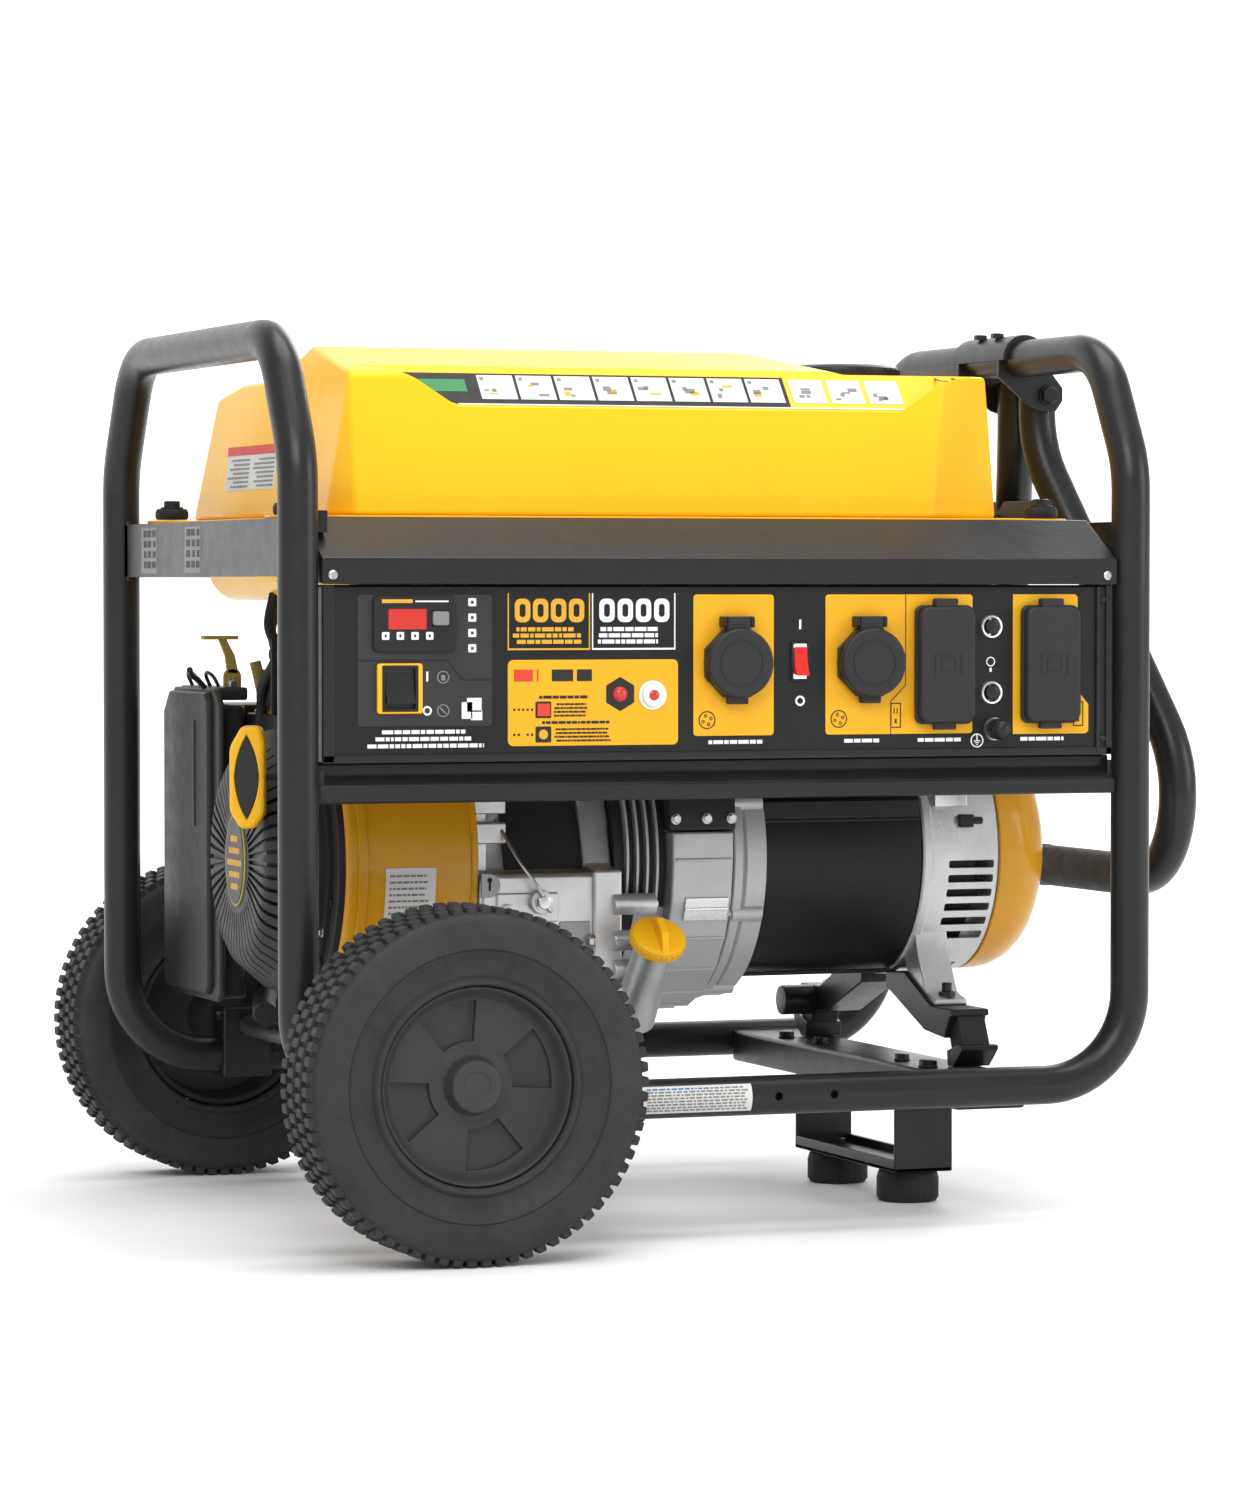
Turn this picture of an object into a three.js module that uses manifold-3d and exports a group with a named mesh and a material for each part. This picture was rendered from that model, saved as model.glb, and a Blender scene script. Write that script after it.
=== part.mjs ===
// Portable open-frame generator, modelled as an assembly of separate pieces.
// Millimetres, +Z up, floor at z = 0, X along the crankshaft, -Y the control panel side.
import * as THREE from 'three';
import { mergeVertices, mergeGeometries } from 'three/addons/utils/BufferGeometryUtils.js';
import Module from 'manifold-3d';

const wasm = await Module();
wasm.setup();

// ---------------------------------------------------------------- driving dimensions
const GAP = 0.3;              // clearance between pieces that touch
const RUN = 0.4;              // radial clearance of a turning fit

// frame tubes
const TUBE_D = 29;
const TUBE_WALL = 2;
const POST_X = 326.3;         // half the distance between the end hoops
const POST_Y = 238.2;         // half the distance between front and rear posts
const TOP_Z = 654;
const SHOULDER_DROP = 88;     // from the top tube down to where the posts lean in
const SHOULDER_IN = 51;       // how far they lean in
const RAIL_BEND_R = 69;
const SHOULDER_R = 70;
const TOP_BEND_R = 60;
const RAIL_JOINT_X = -120;    // where the two hoops meet in the rails

// wheels
const WHEEL_D = 253;
const WHEEL_W = 70;
const WHEEL_GAP = 29;         // frame's outer face to the tyre
const AXLE_X = -228;
const AXLE_D = 16;
const RIM_D = 141;
const POCKETS = 4;
const POCKET_ARC = 45;         // degrees, each
const POCKET_TURN = -18;

// the axle passes just over the rails, so the wheels set the rails' height
const RAIL_Z = WHEEL_D / 2 - AXLE_D / 2 - TUBE_D / 2 - 1;

// cross members, foot bracket and feet
const MEMBER_W = 58;
const MEMBER_H = 25;
const MEMBER_TOP = RAIL_Z + 7;
const MEMBER_WALL = 2.5;
const FOOT_X = 218;
const ENGINE_MEMBER_X = -86;
const FOOT_LEG_Y = 99.5;
const FOOT_Y = 70;
const FOOT_D = 48;
const FOOT_H = 25;
const STRAP_T = 4;

// bands that carry the tank
const BAND_Z0 = 483;
const BAND_Z1 = 525;
const SHEET = 3;
const BAND_SHELF = 30;

// tank
const TANK_X = POST_X - 54.8; // half length at the base
const TANK_FRONT = 83.2 - POST_Y;
const TANK_REAR = POST_Y - 14.2;
const TANK_BASE = 528;
const TANK_DRAFT = 14;        // end draft over the full height
const TANK_TOP = 634;
const TANK_RIDGE = 655;
const TANK_WALL = 4;
const PAN_DEPTH = 63;
const CAP_D = 92;
const CAP_X = 205;
const CAP_Y = 34;

// control panel, hood and shelf
const PANEL_FACE = -POST_Y - 2.8;
const PANEL_Z0 = 350;
const PANEL_Z1 = 477;
const PANEL_DEPTH = 78;
const PANEL_T = 2;
const SHELF_Z = 321;
const SHELF_H = 12;
const HOOD_BEND_Y = PANEL_FACE - 6;
const HOOD_BEND_Z = 496;
const HOOD_TOP_Y = PANEL_FACE + 47;

// engine and alternator, about the crankshaft
const CRANK_Z = 270;
const RECOIL_FACE = -302;
const RECOIL_BACK = -258;
const RECOIL_R = 98;
const BLOWER_R = 118;
const CASE_X0 = -149.5;
const CASE_X1 = -22;
const CASE_BASE = 164;
const CYL_TILT = 25;          // degrees above horizontal, towards the rear
const DECK = 90;              // crank axis to the cylinder's foot
const HOUSING_R = 122;
const HOUSING_X1 = 83;
const ALT_R = 97;
const ALT_BORE = 64;
const STATOR_X1 = 219;
const BRACKET_X1 = 284;
const CAP_END = 334;
const SHAFT_R = 15;

// fold-down handle
const PIVOT_X = POST_X + TUBE_D - 5.3;
const PIVOT_Z = TOP_Z - TUBE_D + 1;
const ARM_TOP_Y = 20;         // half the distance between the arms at the hinge
const GRIP_X = PIVOT_X + 55;
const GRIP_Z = 250;
const ARM_LOW_Y = 160;
const GRIP_D = TUBE_D + 5;
const PIN_D = 8;
const EAR_T = 4;

// ---------------------------------------------------------------- worked out from them
const TUBE_R = TUBE_D / 2;
const WHEEL_R = WHEEL_D / 2;
const WHEEL_Y = POST_Y + TUBE_R + WHEEL_GAP + WHEEL_W / 2;
const POST_IN_X = POST_X - TUBE_R - GAP;
const POST_IN_Y = POST_Y - TUBE_R - GAP;
const PANEL_X = POST_IN_X - 2.5;

// ---------------------------------------------------------------- geometry helpers
const AXES = {
  X: new THREE.Matrix4().makeBasis(new THREE.Vector3(0, 1, 0), new THREE.Vector3(0, 0, 1),
    new THREE.Vector3(1, 0, 0)),
  Y: new THREE.Matrix4().makeBasis(new THREE.Vector3(1, 0, 0), new THREE.Vector3(0, 0, 1),
    new THREE.Vector3(0, -1, 0)),
  Z: new THREE.Matrix4(),
};

// positions only, shared vertices merged, empty triangles dropped, faces turned outwards
function tidy(geometry) {
  const bare = geometry.clone();
  for (const name of Object.keys(bare.attributes)) {
    if (name !== 'position') bare.deleteAttribute(name);
  }
  const merged = mergeVertices(bare, 1e-4);
  const p = merged.attributes.position;
  const old = merged.index.array;
  const index = [];
  let volume = 0;
  const a = new THREE.Vector3();
  const b = new THREE.Vector3();
  const c = new THREE.Vector3();
  for (let i = 0; i < old.length; i += 3) {
    const [i0, i1, i2] = [old[i], old[i + 1], old[i + 2]];
    if (i0 === i1 || i1 === i2 || i2 === i0) continue;
    index.push(i0, i1, i2);
    a.fromBufferAttribute(p, i0);
    b.fromBufferAttribute(p, i1);
    c.fromBufferAttribute(p, i2);
    volume += a.dot(b.cross(c));
  }
  if (volume < 0) index.reverse();
  const out = new THREE.BufferGeometry();
  out.setAttribute('position', new THREE.BufferAttribute(new Float32Array(p.array), 3));
  out.setIndex(index);
  return out;
}

function toSolid(geometry) {
  const g = tidy(geometry);
  return new wasm.Manifold(new wasm.Mesh({
    numProp: 3,
    vertProperties: new Float32Array(g.attributes.position.array),
    triVerts: new Uint32Array(g.index.array),
  }));
}

function toGeometry(solid) {
  const mesh = solid.getMesh();
  const points = new Float32Array(mesh.numVert * 3);
  for (let i = 0; i < mesh.numVert; i += 1) {
    for (let k = 0; k < 3; k += 1) points[3 * i + k] = mesh.vertProperties[mesh.numProp * i + k];
  }
  const out = new THREE.BufferGeometry();
  out.setAttribute('position', new THREE.BufferAttribute(points, 3));
  out.setIndex(Array.from(mesh.triVerts));
  return out;
}

function join(...pieces) {
  return toGeometry(pieces.map(toSolid).reduce((sum, piece) => sum.add(piece)));
}

function cut(base, ...tools) {
  return toGeometry(tools.map(toSolid).reduce((left, tool) => left.subtract(tool), toSolid(base)));
}

function box(x0, x1, y0, y1, z0, z1) {
  const g = new THREE.BoxGeometry(x1 - x0, y1 - y0, z1 - z0);
  return g.translate((x0 + x1) / 2, (y0 + y1) / 2, (z0 + z1) / 2);
}

// a closed outline swept along one axis: (y, z) along X, (x, z) along Y, (x, y) along Z
function prism(axis, outline, from, to, curveSegments = 6) {
  const shape = outline instanceof THREE.Shape
    ? outline : new THREE.Shape(outline.map(([u, v]) => new THREE.Vector2(u, v)));
  const g = new THREE.ExtrudeGeometry(shape, { depth: to - from, bevelEnabled: false, curveSegments });
  g.applyMatrix4(AXES[axis]);
  if (axis === 'X') return g.translate(from, 0, 0);
  if (axis === 'Y') return g.translate(0, to, 0);
  return g.translate(0, 0, from);
}

function rectangle(u0, u1, v0, v1, r) {
  const s = new THREE.Shape();
  s.moveTo(u0 + r, v0);
  s.lineTo(u1 - r, v0);
  s.absarc(u1 - r, v0 + r, r, -Math.PI / 2, 0, false);
  s.lineTo(u1, v1 - r);
  s.absarc(u1 - r, v1 - r, r, 0, Math.PI / 2, false);
  s.lineTo(u0 + r, v1);
  s.absarc(u0 + r, v1 - r, r, Math.PI / 2, Math.PI, false);
  s.lineTo(u0, v0 + r);
  s.absarc(u0 + r, v0 + r, r, Math.PI, 1.5 * Math.PI, false);
  return s;
}

function disc(u, v, r) {
  const s = new THREE.Shape();
  s.absarc(u, v, r, 0, 2 * Math.PI, false);
  return s;
}

// a rod along one axis; centre is the other two coordinates in X, Y, Z order
function rod(axis, centre, r, from, to, sides = 16) {
  const g = new THREE.CylinderGeometry(r, r, to - from, sides);
  const mid = (from + to) / 2;
  if (axis === 'X') return g.rotateZ(-Math.PI / 2).translate(mid, centre[0], centre[1]);
  if (axis === 'Y') return g.translate(centre[0], mid, centre[1]);
  return g.rotateX(Math.PI / 2).translate(centre[0], centre[1], mid);
}

// a turned piece: profile of [radius, station along the axis]
function turned(axis, centre, profile, sides = 24) {
  const g = new THREE.LatheGeometry(profile.map(([r, s]) => new THREE.Vector2(r, s)), sides);
  if (axis === 'X') return g.rotateZ(-Math.PI / 2).translate(0, centre[0], centre[1]);
  if (axis === 'Y') return g.translate(centre[0], 0, centre[1]);
  return g.rotateX(Math.PI / 2).translate(centre[0], centre[1], 0);
}

// the centreline of a bent tube: straight runs joined by true arcs, one sweep step per station
class BentPath extends THREE.Curve {
  constructor(corners, radii, arcStep = 18) {
    super();
    const p = corners.map((c) => new THREE.Vector3(...c));
    const start = p[1].clone().sub(p[0]).normalize();
    this.stations = [{ at: p[0], to: start }];
    for (let i = 1; i < p.length - 1; i += 1) {
      const into = p[i].clone().sub(p[i - 1]).normalize();
      const out = p[i + 1].clone().sub(p[i]).normalize();
      const turn = into.angleTo(out);
      const back = radii[i - 1] * Math.tan(turn / 2);
      const normal = out.clone().addScaledVector(into, -out.dot(into)).normalize();
      const first = p[i].clone().addScaledVector(into, -back);
      const centre = first.clone().addScaledVector(normal, radii[i - 1]);
      const steps = Math.max(2, Math.round(THREE.MathUtils.radToDeg(turn) / arcStep));
      for (let k = 0; k <= steps; k += 1) {
        const a = (turn * k) / steps;
        this.stations.push({
          at: centre.clone().addScaledVector(normal, -radii[i - 1] * Math.cos(a))
            .addScaledVector(into, radii[i - 1] * Math.sin(a)),
          to: into.clone().multiplyScalar(Math.cos(a)).addScaledVector(normal, Math.sin(a)),
        });
      }
    }
    const n = p.length;
    this.stations.push({ at: p[n - 1], to: p[n - 1].clone().sub(p[n - 2]).normalize() });
  }

  get steps() { return this.stations.length - 1; }

  blend(u, key) {
    const s = Math.min(Math.max(u, 0), 1) * this.steps;
    const i = Math.min(Math.floor(s + 1e-9), this.steps - 1);
    return this.stations[i][key].clone().lerp(this.stations[i + 1][key], s - i);
  }

  getPoint(t, target = new THREE.Vector3()) { return target.copy(this.blend(t, 'at')); }

  getPointAt(u, target) { return this.getPoint(u, target); }

  getTangent(t, target = new THREE.Vector3()) { return target.copy(this.blend(t, 'to').normalize()); }

  getTangentAt(u, target) { return this.getTangent(u, target); }
}

function bentTube(corners, radii, outerR, wall) {
  const path = new BentPath(corners, radii);
  const section = disc(0, 0, outerR);
  if (wall) {
    const hole = new THREE.Path();
    hole.absarc(0, 0, outerR - wall, 0, 2 * Math.PI, true);
    section.holes.push(hole);
  }
  return new THREE.ExtrudeGeometry(section, {
    steps: path.steps, extrudePath: path, curveSegments: 7,
  });
}

// ---------------------------------------------------------------- materials and group
function finish(color, roughness, metalness) {
  return () => new THREE.MeshStandardMaterial({ color, roughness, metalness });
}
const FRAME_BLACK = finish(0x2b2b2c, 0.45, 0.3);
const PANEL_BLACK = finish(0x1d1d1e, 0.5, 0.2);
const YELLOW = finish(0xf7b71e, 0.3, 0.1);
const RUBBER = finish(0x1a1a1b, 0.85, 0);
const PLASTIC_BLACK = finish(0x161617, 0.5, 0);
const CAST = finish(0xb4b6b8, 0.42, 0.85);
const STEEL = finish(0x8c8f93, 0.35, 0.9);
const RED = finish(0xc9201c, 0.35, 0);
const WHITE = finish(0xe8e8e6, 0.4, 0);

const generator = new THREE.Group();

function add(name, geometry, material, parent = generator) {
  const mesh = new THREE.Mesh(tidy(geometry), material());
  mesh.name = name;
  parent.add(mesh);
  return mesh;
}

// ---------------------------------------------------------------- frame
function hoopCorners(side, railEnd) {
  const x = side * POST_X;
  const shoulder = TOP_Z - SHOULDER_DROP;
  const crown = POST_Y - SHOULDER_IN;
  return [
    [railEnd, -POST_Y, RAIL_Z], [x, -POST_Y, RAIL_Z], [x, -POST_Y, shoulder], [x, -crown, TOP_Z],
    [x, crown, TOP_Z], [x, POST_Y, shoulder], [x, POST_Y, RAIL_Z], [railEnd, POST_Y, RAIL_Z],
  ];
}
const hoopRadii = [RAIL_BEND_R, SHOULDER_R, TOP_BEND_R, TOP_BEND_R, SHOULDER_R, RAIL_BEND_R];
add('left_hoop', bentTube(hoopCorners(-1, RAIL_JOINT_X), hoopRadii, TUBE_R, TUBE_WALL), FRAME_BLACK);
add('right_hoop', bentTube(hoopCorners(1, RAIL_JOINT_X + GAP), hoopRadii, TUBE_R, TUBE_WALL),
  FRAME_BLACK);

// a box section across the frame, between the rails
function crossMember(x) {
  const half = MEMBER_W / 2;
  const z0 = MEMBER_TOP - MEMBER_H;
  const outer = box(x - half, x + half, -POST_IN_Y, POST_IN_Y, z0, MEMBER_TOP);
  const inner = box(x - half + MEMBER_WALL, x + half - MEMBER_WALL, -POST_IN_Y - 1, POST_IN_Y + 1,
    z0 + MEMBER_WALL, MEMBER_TOP - MEMBER_WALL);
  return cut(outer, inner);
}
const SADDLE_Y = 72;
const SADDLE_W = 40;
function engineSaddle(side) {
  const y = side * SADDLE_Y;
  const x0 = ENGINE_MEMBER_X - MEMBER_W / 2;
  const x1 = ENGINE_MEMBER_X + MEMBER_W / 2;
  const top = CASE_BASE - GAP;
  const half = SADDLE_W / 2;
  const outer = box(x0, x1, y - half, y + half, MEMBER_TOP - 1, top);
  const inner = box(x0 - 1, x1 + 1, y - half + SHEET, y + half - SHEET, MEMBER_TOP, top - SHEET);
  return cut(outer, inner);
}
add('engine_cross_member', join(crossMember(ENGINE_MEMBER_X), engineSaddle(-1), engineSaddle(1)),
  FRAME_BLACK);
add('alternator_cross_member', crossMember(FOOT_X), FRAME_BLACK);

const STRAP_W = 48;
const FOOT_BAR_H = 10;
const legTop = MEMBER_TOP - MEMBER_H - GAP;
const legOut = FOOT_LEG_Y + STRAP_T / 2;
const strapX0 = FOOT_X - STRAP_W / 2;
const strapX1 = FOOT_X + STRAP_W / 2;
add('foot_bracket', cut(
  box(strapX0, strapX1, -legOut, legOut, FOOT_H, legTop),
  box(strapX0 - 1, strapX1 + 1, -legOut + STRAP_T, legOut - STRAP_T, FOOT_H + FOOT_BAR_H,
    legTop + 1),
  box(strapX0 + STRAP_T, strapX1 - STRAP_T, -legOut + STRAP_T, legOut - STRAP_T, FOOT_H + STRAP_T,
    FOOT_H + FOOT_BAR_H + 1),
), FRAME_BLACK);

for (const [name, side] of [['front_foot', -1], ['rear_foot', 1]]) {
  const r = FOOT_D / 2;
  add(name, turned('Z', [FOOT_X, side * FOOT_Y], [
    [0, 0], [r - 3, 0], [r - 1, 2], [r, FOOT_H * 0.7], [r - 1, FOOT_H - GAP], [0, FOOT_H - GAP],
  ], 20), RUBBER);
}

// angle strips between the posts, which the tank sits on; the hood takes the shelf's front end
const hoodBack = TANK_FRONT - 9;
function endBand(side) {
  const out = side * (POST_X + SHEET / 2);
  const inn = side * (POST_X - SHEET / 2);
  const lip = side * (POST_X - BAND_SHELF);
  const angle = prism('Y', [[out, BAND_Z0], [out, BAND_Z1], [lip, BAND_Z1],
    [lip, BAND_Z1 - SHEET], [inn, BAND_Z1 - SHEET], [inn, BAND_Z0]], -POST_IN_Y, POST_IN_Y);
  const clear = box(Math.min(lip - side, inn), Math.max(lip - side, inn), -POST_Y, hoodBack + 1,
    BAND_Z1 - SHEET - 1, BAND_Z1 + 1);
  return cut(angle, clear);
}
add('left_end_band', endBand(-1), FRAME_BLACK);
add('right_end_band', endBand(1), FRAME_BLACK);
add('rear_cross_bar', prism('X', [[POST_Y + SHEET / 2, BAND_Z0], [POST_Y + SHEET / 2, BAND_Z1],
  [POST_Y - 10, BAND_Z1], [POST_Y - 10, BAND_Z1 - SHEET], [POST_Y - SHEET / 2, BAND_Z1 - SHEET],
  [POST_Y - SHEET / 2, BAND_Z0]], -POST_IN_X, POST_IN_X), FRAME_BLACK);

// ---------------------------------------------------------------- axle and wheels
const axleZ = WHEEL_R;
const axleEnd = WHEEL_Y + 18;
add('axle', rod('Y', [AXLE_X, axleZ], AXLE_D / 2, -axleEnd, axleEnd, 16), STEEL);

const BLOCK_W = 40;
const BLOCK_T = TUBE_D + 5;
for (const [name, side] of [['front_axle_bracket', -1], ['rear_axle_bracket', 1]]) {
  const y = side * POST_Y;
  const half = BLOCK_T / 2;
  const x0 = AXLE_X - BLOCK_W / 2;
  const x1 = AXLE_X + BLOCK_W / 2;
  add(name, cut(
    box(x0, x1, y - half, y + half, RAIL_Z - TUBE_R - SHEET - GAP, axleZ + AXLE_D / 2 + 6),
    rod('X', [y, RAIL_Z], TUBE_R + GAP, x0 - 1, x1 + 1, 24),
    rod('Y', [AXLE_X, axleZ], AXLE_D / 2 + RUN, y - half - 1, y + half + 1, 24),
  ), FRAME_BLACK);
}

// one wheel, turned about its axle; t runs outwards from the wheel's middle plane
const rimR = RIM_D / 2;
const halfW = WHEEL_W / 2;
const DISH = 12;
const HUB_R = 21;
const BORE_R = AXLE_D / 2 + RUN;
const rimProfile = [
  [0, 27], [HUB_R - 3, 27], [HUB_R, 24], [HUB_R + 1, DISH], [rimR - 13, DISH], [rimR - 7, DISH + 11],
  [rimR - 2, DISH + 14], [rimR, DISH + 11], [rimR, -DISH - 11], [rimR - 3, -DISH - 13],
  [rimR - 6, -DISH - 11], [rimR - 9, DISH - 6], [HUB_R, DISH - 6], [HUB_R - 3, -halfW + 3],
  [BORE_R, -halfW + 3], [BORE_R, 22], [0, 22],
];
const beadR = rimR + GAP;
const tyreProfile = [
  [beadR, -24], [beadR + 8, -29], [WHEEL_R - 26, -halfW], [WHEEL_R - 9, -halfW + 1],
  [WHEEL_R - 1, -halfW + 8], [WHEEL_R, -12], [WHEEL_R, 12], [WHEEL_R - 1, halfW - 8],
  [WHEEL_R - 9, halfW - 1], [WHEEL_R - 26, halfW], [beadR + 8, 29], [beadR, 24], [beadR, -24],
];
function pocket(i) {
  const a = (2 * Math.PI * i) / POCKETS + THREE.MathUtils.degToRad(POCKET_TURN);
  const half = THREE.MathUtils.degToRad(POCKET_ARC / 2);
  const s = new THREE.Shape();
  s.absarc(0, 0, rimR - 16, a - half, a + half, false);
  s.absarc(0, 0, HUB_R + 7, a + half, a - half, true);
  return prism('Y', s, DISH - 4, DISH + 3, 4);
}
for (const [end, side] of [['front', -1], ['rear', 1]]) {
  const wheel = new THREE.Group();
  wheel.position.set(AXLE_X, side * WHEEL_Y, axleZ);
  if (side < 0) wheel.rotation.z = Math.PI;
  const rim = cut(turned('Y', [0, 0], rimProfile, 24),
    ...Array.from({ length: POCKETS }, (_, i) => pocket(i)));
  add(`${end}_rim`, rim, PLASTIC_BLACK, wheel);
  add(`${end}_tyre`, turned('Y', [0, 0], tyreProfile, 36), RUBBER, wheel);
  generator.add(wheel);
}

// ---------------------------------------------------------------- tank
// cross-section from front to rear: front face, strip, ridge, rear slope, rear chamfer, rear face
function tankSection(inset) {
  const z0 = TANK_BASE + (inset ? -1 : 0);
  return [
    [TANK_FRONT + inset, z0], [TANK_FRONT + 5 + inset, TANK_TOP - 26],
    [TANK_FRONT + 7 + inset, TANK_TOP - 4 - inset], [TANK_FRONT + 12 + inset, TANK_TOP - inset],
    [-50, TANK_RIDGE - inset], [36, TANK_TOP - 2 - inset], [122, TANK_TOP - 2 - inset],
    [TANK_REAR - 35 - inset, TANK_TOP - 11 - inset], [TANK_REAR - inset, z0],
  ];
}
const STRIP_DROP = 26;
const STRIP_BACK = 22;
function tankShape(inset) {
  const x = TANK_X - inset;
  const top = TANK_RIDGE + 10;
  const body = prism('X', tankSection(inset), -x, x);
  const lean = TANK_DRAFT / (TANK_RIDGE - TANK_BASE);
  const rise = top - TANK_BASE;
  const draft = (side) => prism('Y', [
    [side * x, TANK_BASE], [side * (x + 40), TANK_BASE], [side * (x + 40), top],
    [side * (x - lean * rise), top],
  ], TANK_FRONT - 20, TANK_REAR + 20);
  // the ridge ends in a slope; from there to the right end the top is flat
  const flat = TANK_TOP + 2 - inset;
  const step = prism('Y', [
    [85, TANK_RIDGE + 1 - inset], [85, top + 5], [x + 41, top + 5], [x + 41, flat], [138, flat],
  ], TANK_FRONT - 20, TANK_REAR + 20);
  return cut(body, draft(-1), draft(1), step);
}
// the slanted strip along the front edge, with its ends cut diagonally
function strip() {
  const angle = Math.atan2(STRIP_DROP, STRIP_BACK);
  const slope = Math.hypot(STRIP_DROP, STRIP_BACK);
  const low = 178;
  const high = 243;
  const reach = 30;
  const grow = ((high - low) * reach) / slope;
  const face = new THREE.Shape([
    new THREE.Vector2(-low + grow, -reach), new THREE.Vector2(low - grow, -reach),
    new THREE.Vector2(high + grow, slope + reach), new THREE.Vector2(-high - grow, slope + reach),
  ]);
  const g = new THREE.ExtrudeGeometry(face, { depth: 40, bevelEnabled: false });
  return g.rotateX(angle).translate(0, TANK_FRONT + 5, TANK_TOP - STRIP_DROP);
}
const neckR = CAP_D / 2 - 14;
add('tank_upper', cut(tankShape(0), tankShape(TANK_WALL), strip(),
  rod('Z', [CAP_X, CAP_Y], neckR, TANK_TOP - 30, TANK_TOP + 30, 20)), YELLOW);

const PAN_INSET = 8;
const FLANGE_T = 2.7;
const EAR_X = POST_X - 8;
function pan(inset) {
  const x = TANK_X - PAN_INSET - inset;
  const y0 = TANK_FRONT + PAN_INSET + inset;
  const y1 = TANK_REAR - PAN_INSET - inset;
  const floor = TANK_BASE - GAP - PAN_DEPTH + inset;
  const top = TANK_BASE - GAP + (inset ? 1 : 0);
  return join(
    prism('Y', [[-x, top], [-x, floor + 14], [-x + 14, floor], [x - 14, floor], [x, floor + 14],
      [x, top]], y0, y1),
    prism('X', [[-40, floor + 1], [-20, floor - 9], [50, floor - 9], [100, floor + 1]],
      -x + 20, -x + 120),
  );
}
function flange() {
  const z1 = TANK_BASE - GAP;
  const z0 = z1 - FLANGE_T + 0.4;
  const ears = [[-1, -1], [-1, 1], [1, -1], [1, 1]].map(([sx, sy]) => {
    const y = sy < 0 ? TANK_FRONT + 20 : TANK_REAR - 40;
    return box(Math.min(sx * EAR_X, sx * 200), Math.max(sx * EAR_X, sx * 200), y - 14, y + 14, z0, z1);
  });
  return join(prism('Z', rectangle(-TANK_X - 8, TANK_X + 8, TANK_FRONT - 8, TANK_REAR + 2, 12), z0, z1,
    3), ...ears);
}
add('tank_lower', cut(join(pan(0), flange()), pan(TANK_WALL)), YELLOW);

const capZ = TANK_TOP + 2 + GAP;
add('fuel_cap', turned('Z', [CAP_X, CAP_Y], [
  [0, capZ - 14], [neckR - 1, capZ - 14], [neckR - 1, capZ], [CAP_D / 2, capZ],
  [CAP_D / 2, capZ + 10], [CAP_D / 2 - 4, capZ + 13], [0, capZ + 14],
], 24), PLASTIC_BLACK);

// ---------------------------------------------------------------- hood, panel and shelf
const hoodX = POST_IN_X - 0.5;
const hoodTop = TANK_BASE - 2;
const hoodLip = PANEL_Z1 + GAP;
const hoodSheet = 2;
add('hood', prism('X', [
  [HOOD_BEND_Y, hoodLip], [HOOD_BEND_Y, HOOD_BEND_Z], [HOOD_TOP_Y, hoodTop], [hoodBack, hoodTop],
  [hoodBack, hoodTop - hoodSheet], [HOOD_TOP_Y + 0.5, hoodTop - hoodSheet],
  [HOOD_BEND_Y + hoodSheet, HOOD_BEND_Z - 1.2], [HOOD_BEND_Y + hoodSheet, hoodLip],
], -hoodX, hoodX), FRAME_BLACK);

// places on the panel face: x, z and size of each device
const DISPLAY = { x: -241, z: 449, w: 62, h: 40 };
const KEY = { x: -222, z: 453, w: 12, h: 10 };
const SWITCH = { x: -252, z: 403, w: 22, h: 28 };
const ALARM = { x: -59, z: 397, d: 17 };
const ROCKER = { x: 57, z: 421, w: 11, h: 25 };
const TWISTS = [{ x: 5, z: 420 }, { x: 110, z: 420 }];
const TWIST_D = 52;
const DUPLEXES = [{ x: 170, z: 418 }, { x: 256, z: 418 }];
const DUPLEX = { w: 47, h: 88 };
const BREAKERS = [{ x: 210, z: 446 }, { x: 210, z: 397 }];
const BREAKER_D = 11;
const GROUND = { x: 213, z: 370, d: 15 };
const FIT = 0.5;              // clearance round a device in its panel opening
const through = [PANEL_FACE - 5, PANEL_FACE + 8];

function slot(d) {
  return box(d.x - d.w / 2 - FIT, d.x + d.w / 2 + FIT, ...through, d.z - d.h / 2 - FIT,
    d.z + d.h / 2 + FIT);
}
function hole(d, size) {
  return rod('Y', [d.x, d.z], size / 2 + FIT, ...through, 16);
}
const SOCKET_BODY = 40;
const DUPLEX_BODY = { w: 36, h: 74 };
const panelBack = PANEL_FACE + PANEL_DEPTH;
add('control_panel', cut(
  box(-PANEL_X, PANEL_X, PANEL_FACE, panelBack, PANEL_Z0, PANEL_Z1),
  box(-PANEL_X + PANEL_T, PANEL_X - PANEL_T, PANEL_FACE + PANEL_T, panelBack + 1,
    PANEL_Z0 + PANEL_T, PANEL_Z1 - PANEL_T),
  slot({ ...DISPLAY, w: DISPLAY.w - 8, h: DISPLAY.h - 8 }), slot(SWITCH), slot(ROCKER),
  hole(ALARM, ALARM.d), hole(GROUND, 6),
  ...TWISTS.map((t) => hole(t, SOCKET_BODY)),
  ...DUPLEXES.map((d) => slot({ ...d, ...DUPLEX_BODY })),
  ...BREAKERS.map((b) => hole(b, BREAKER_D)),
), PANEL_BLACK);

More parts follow.
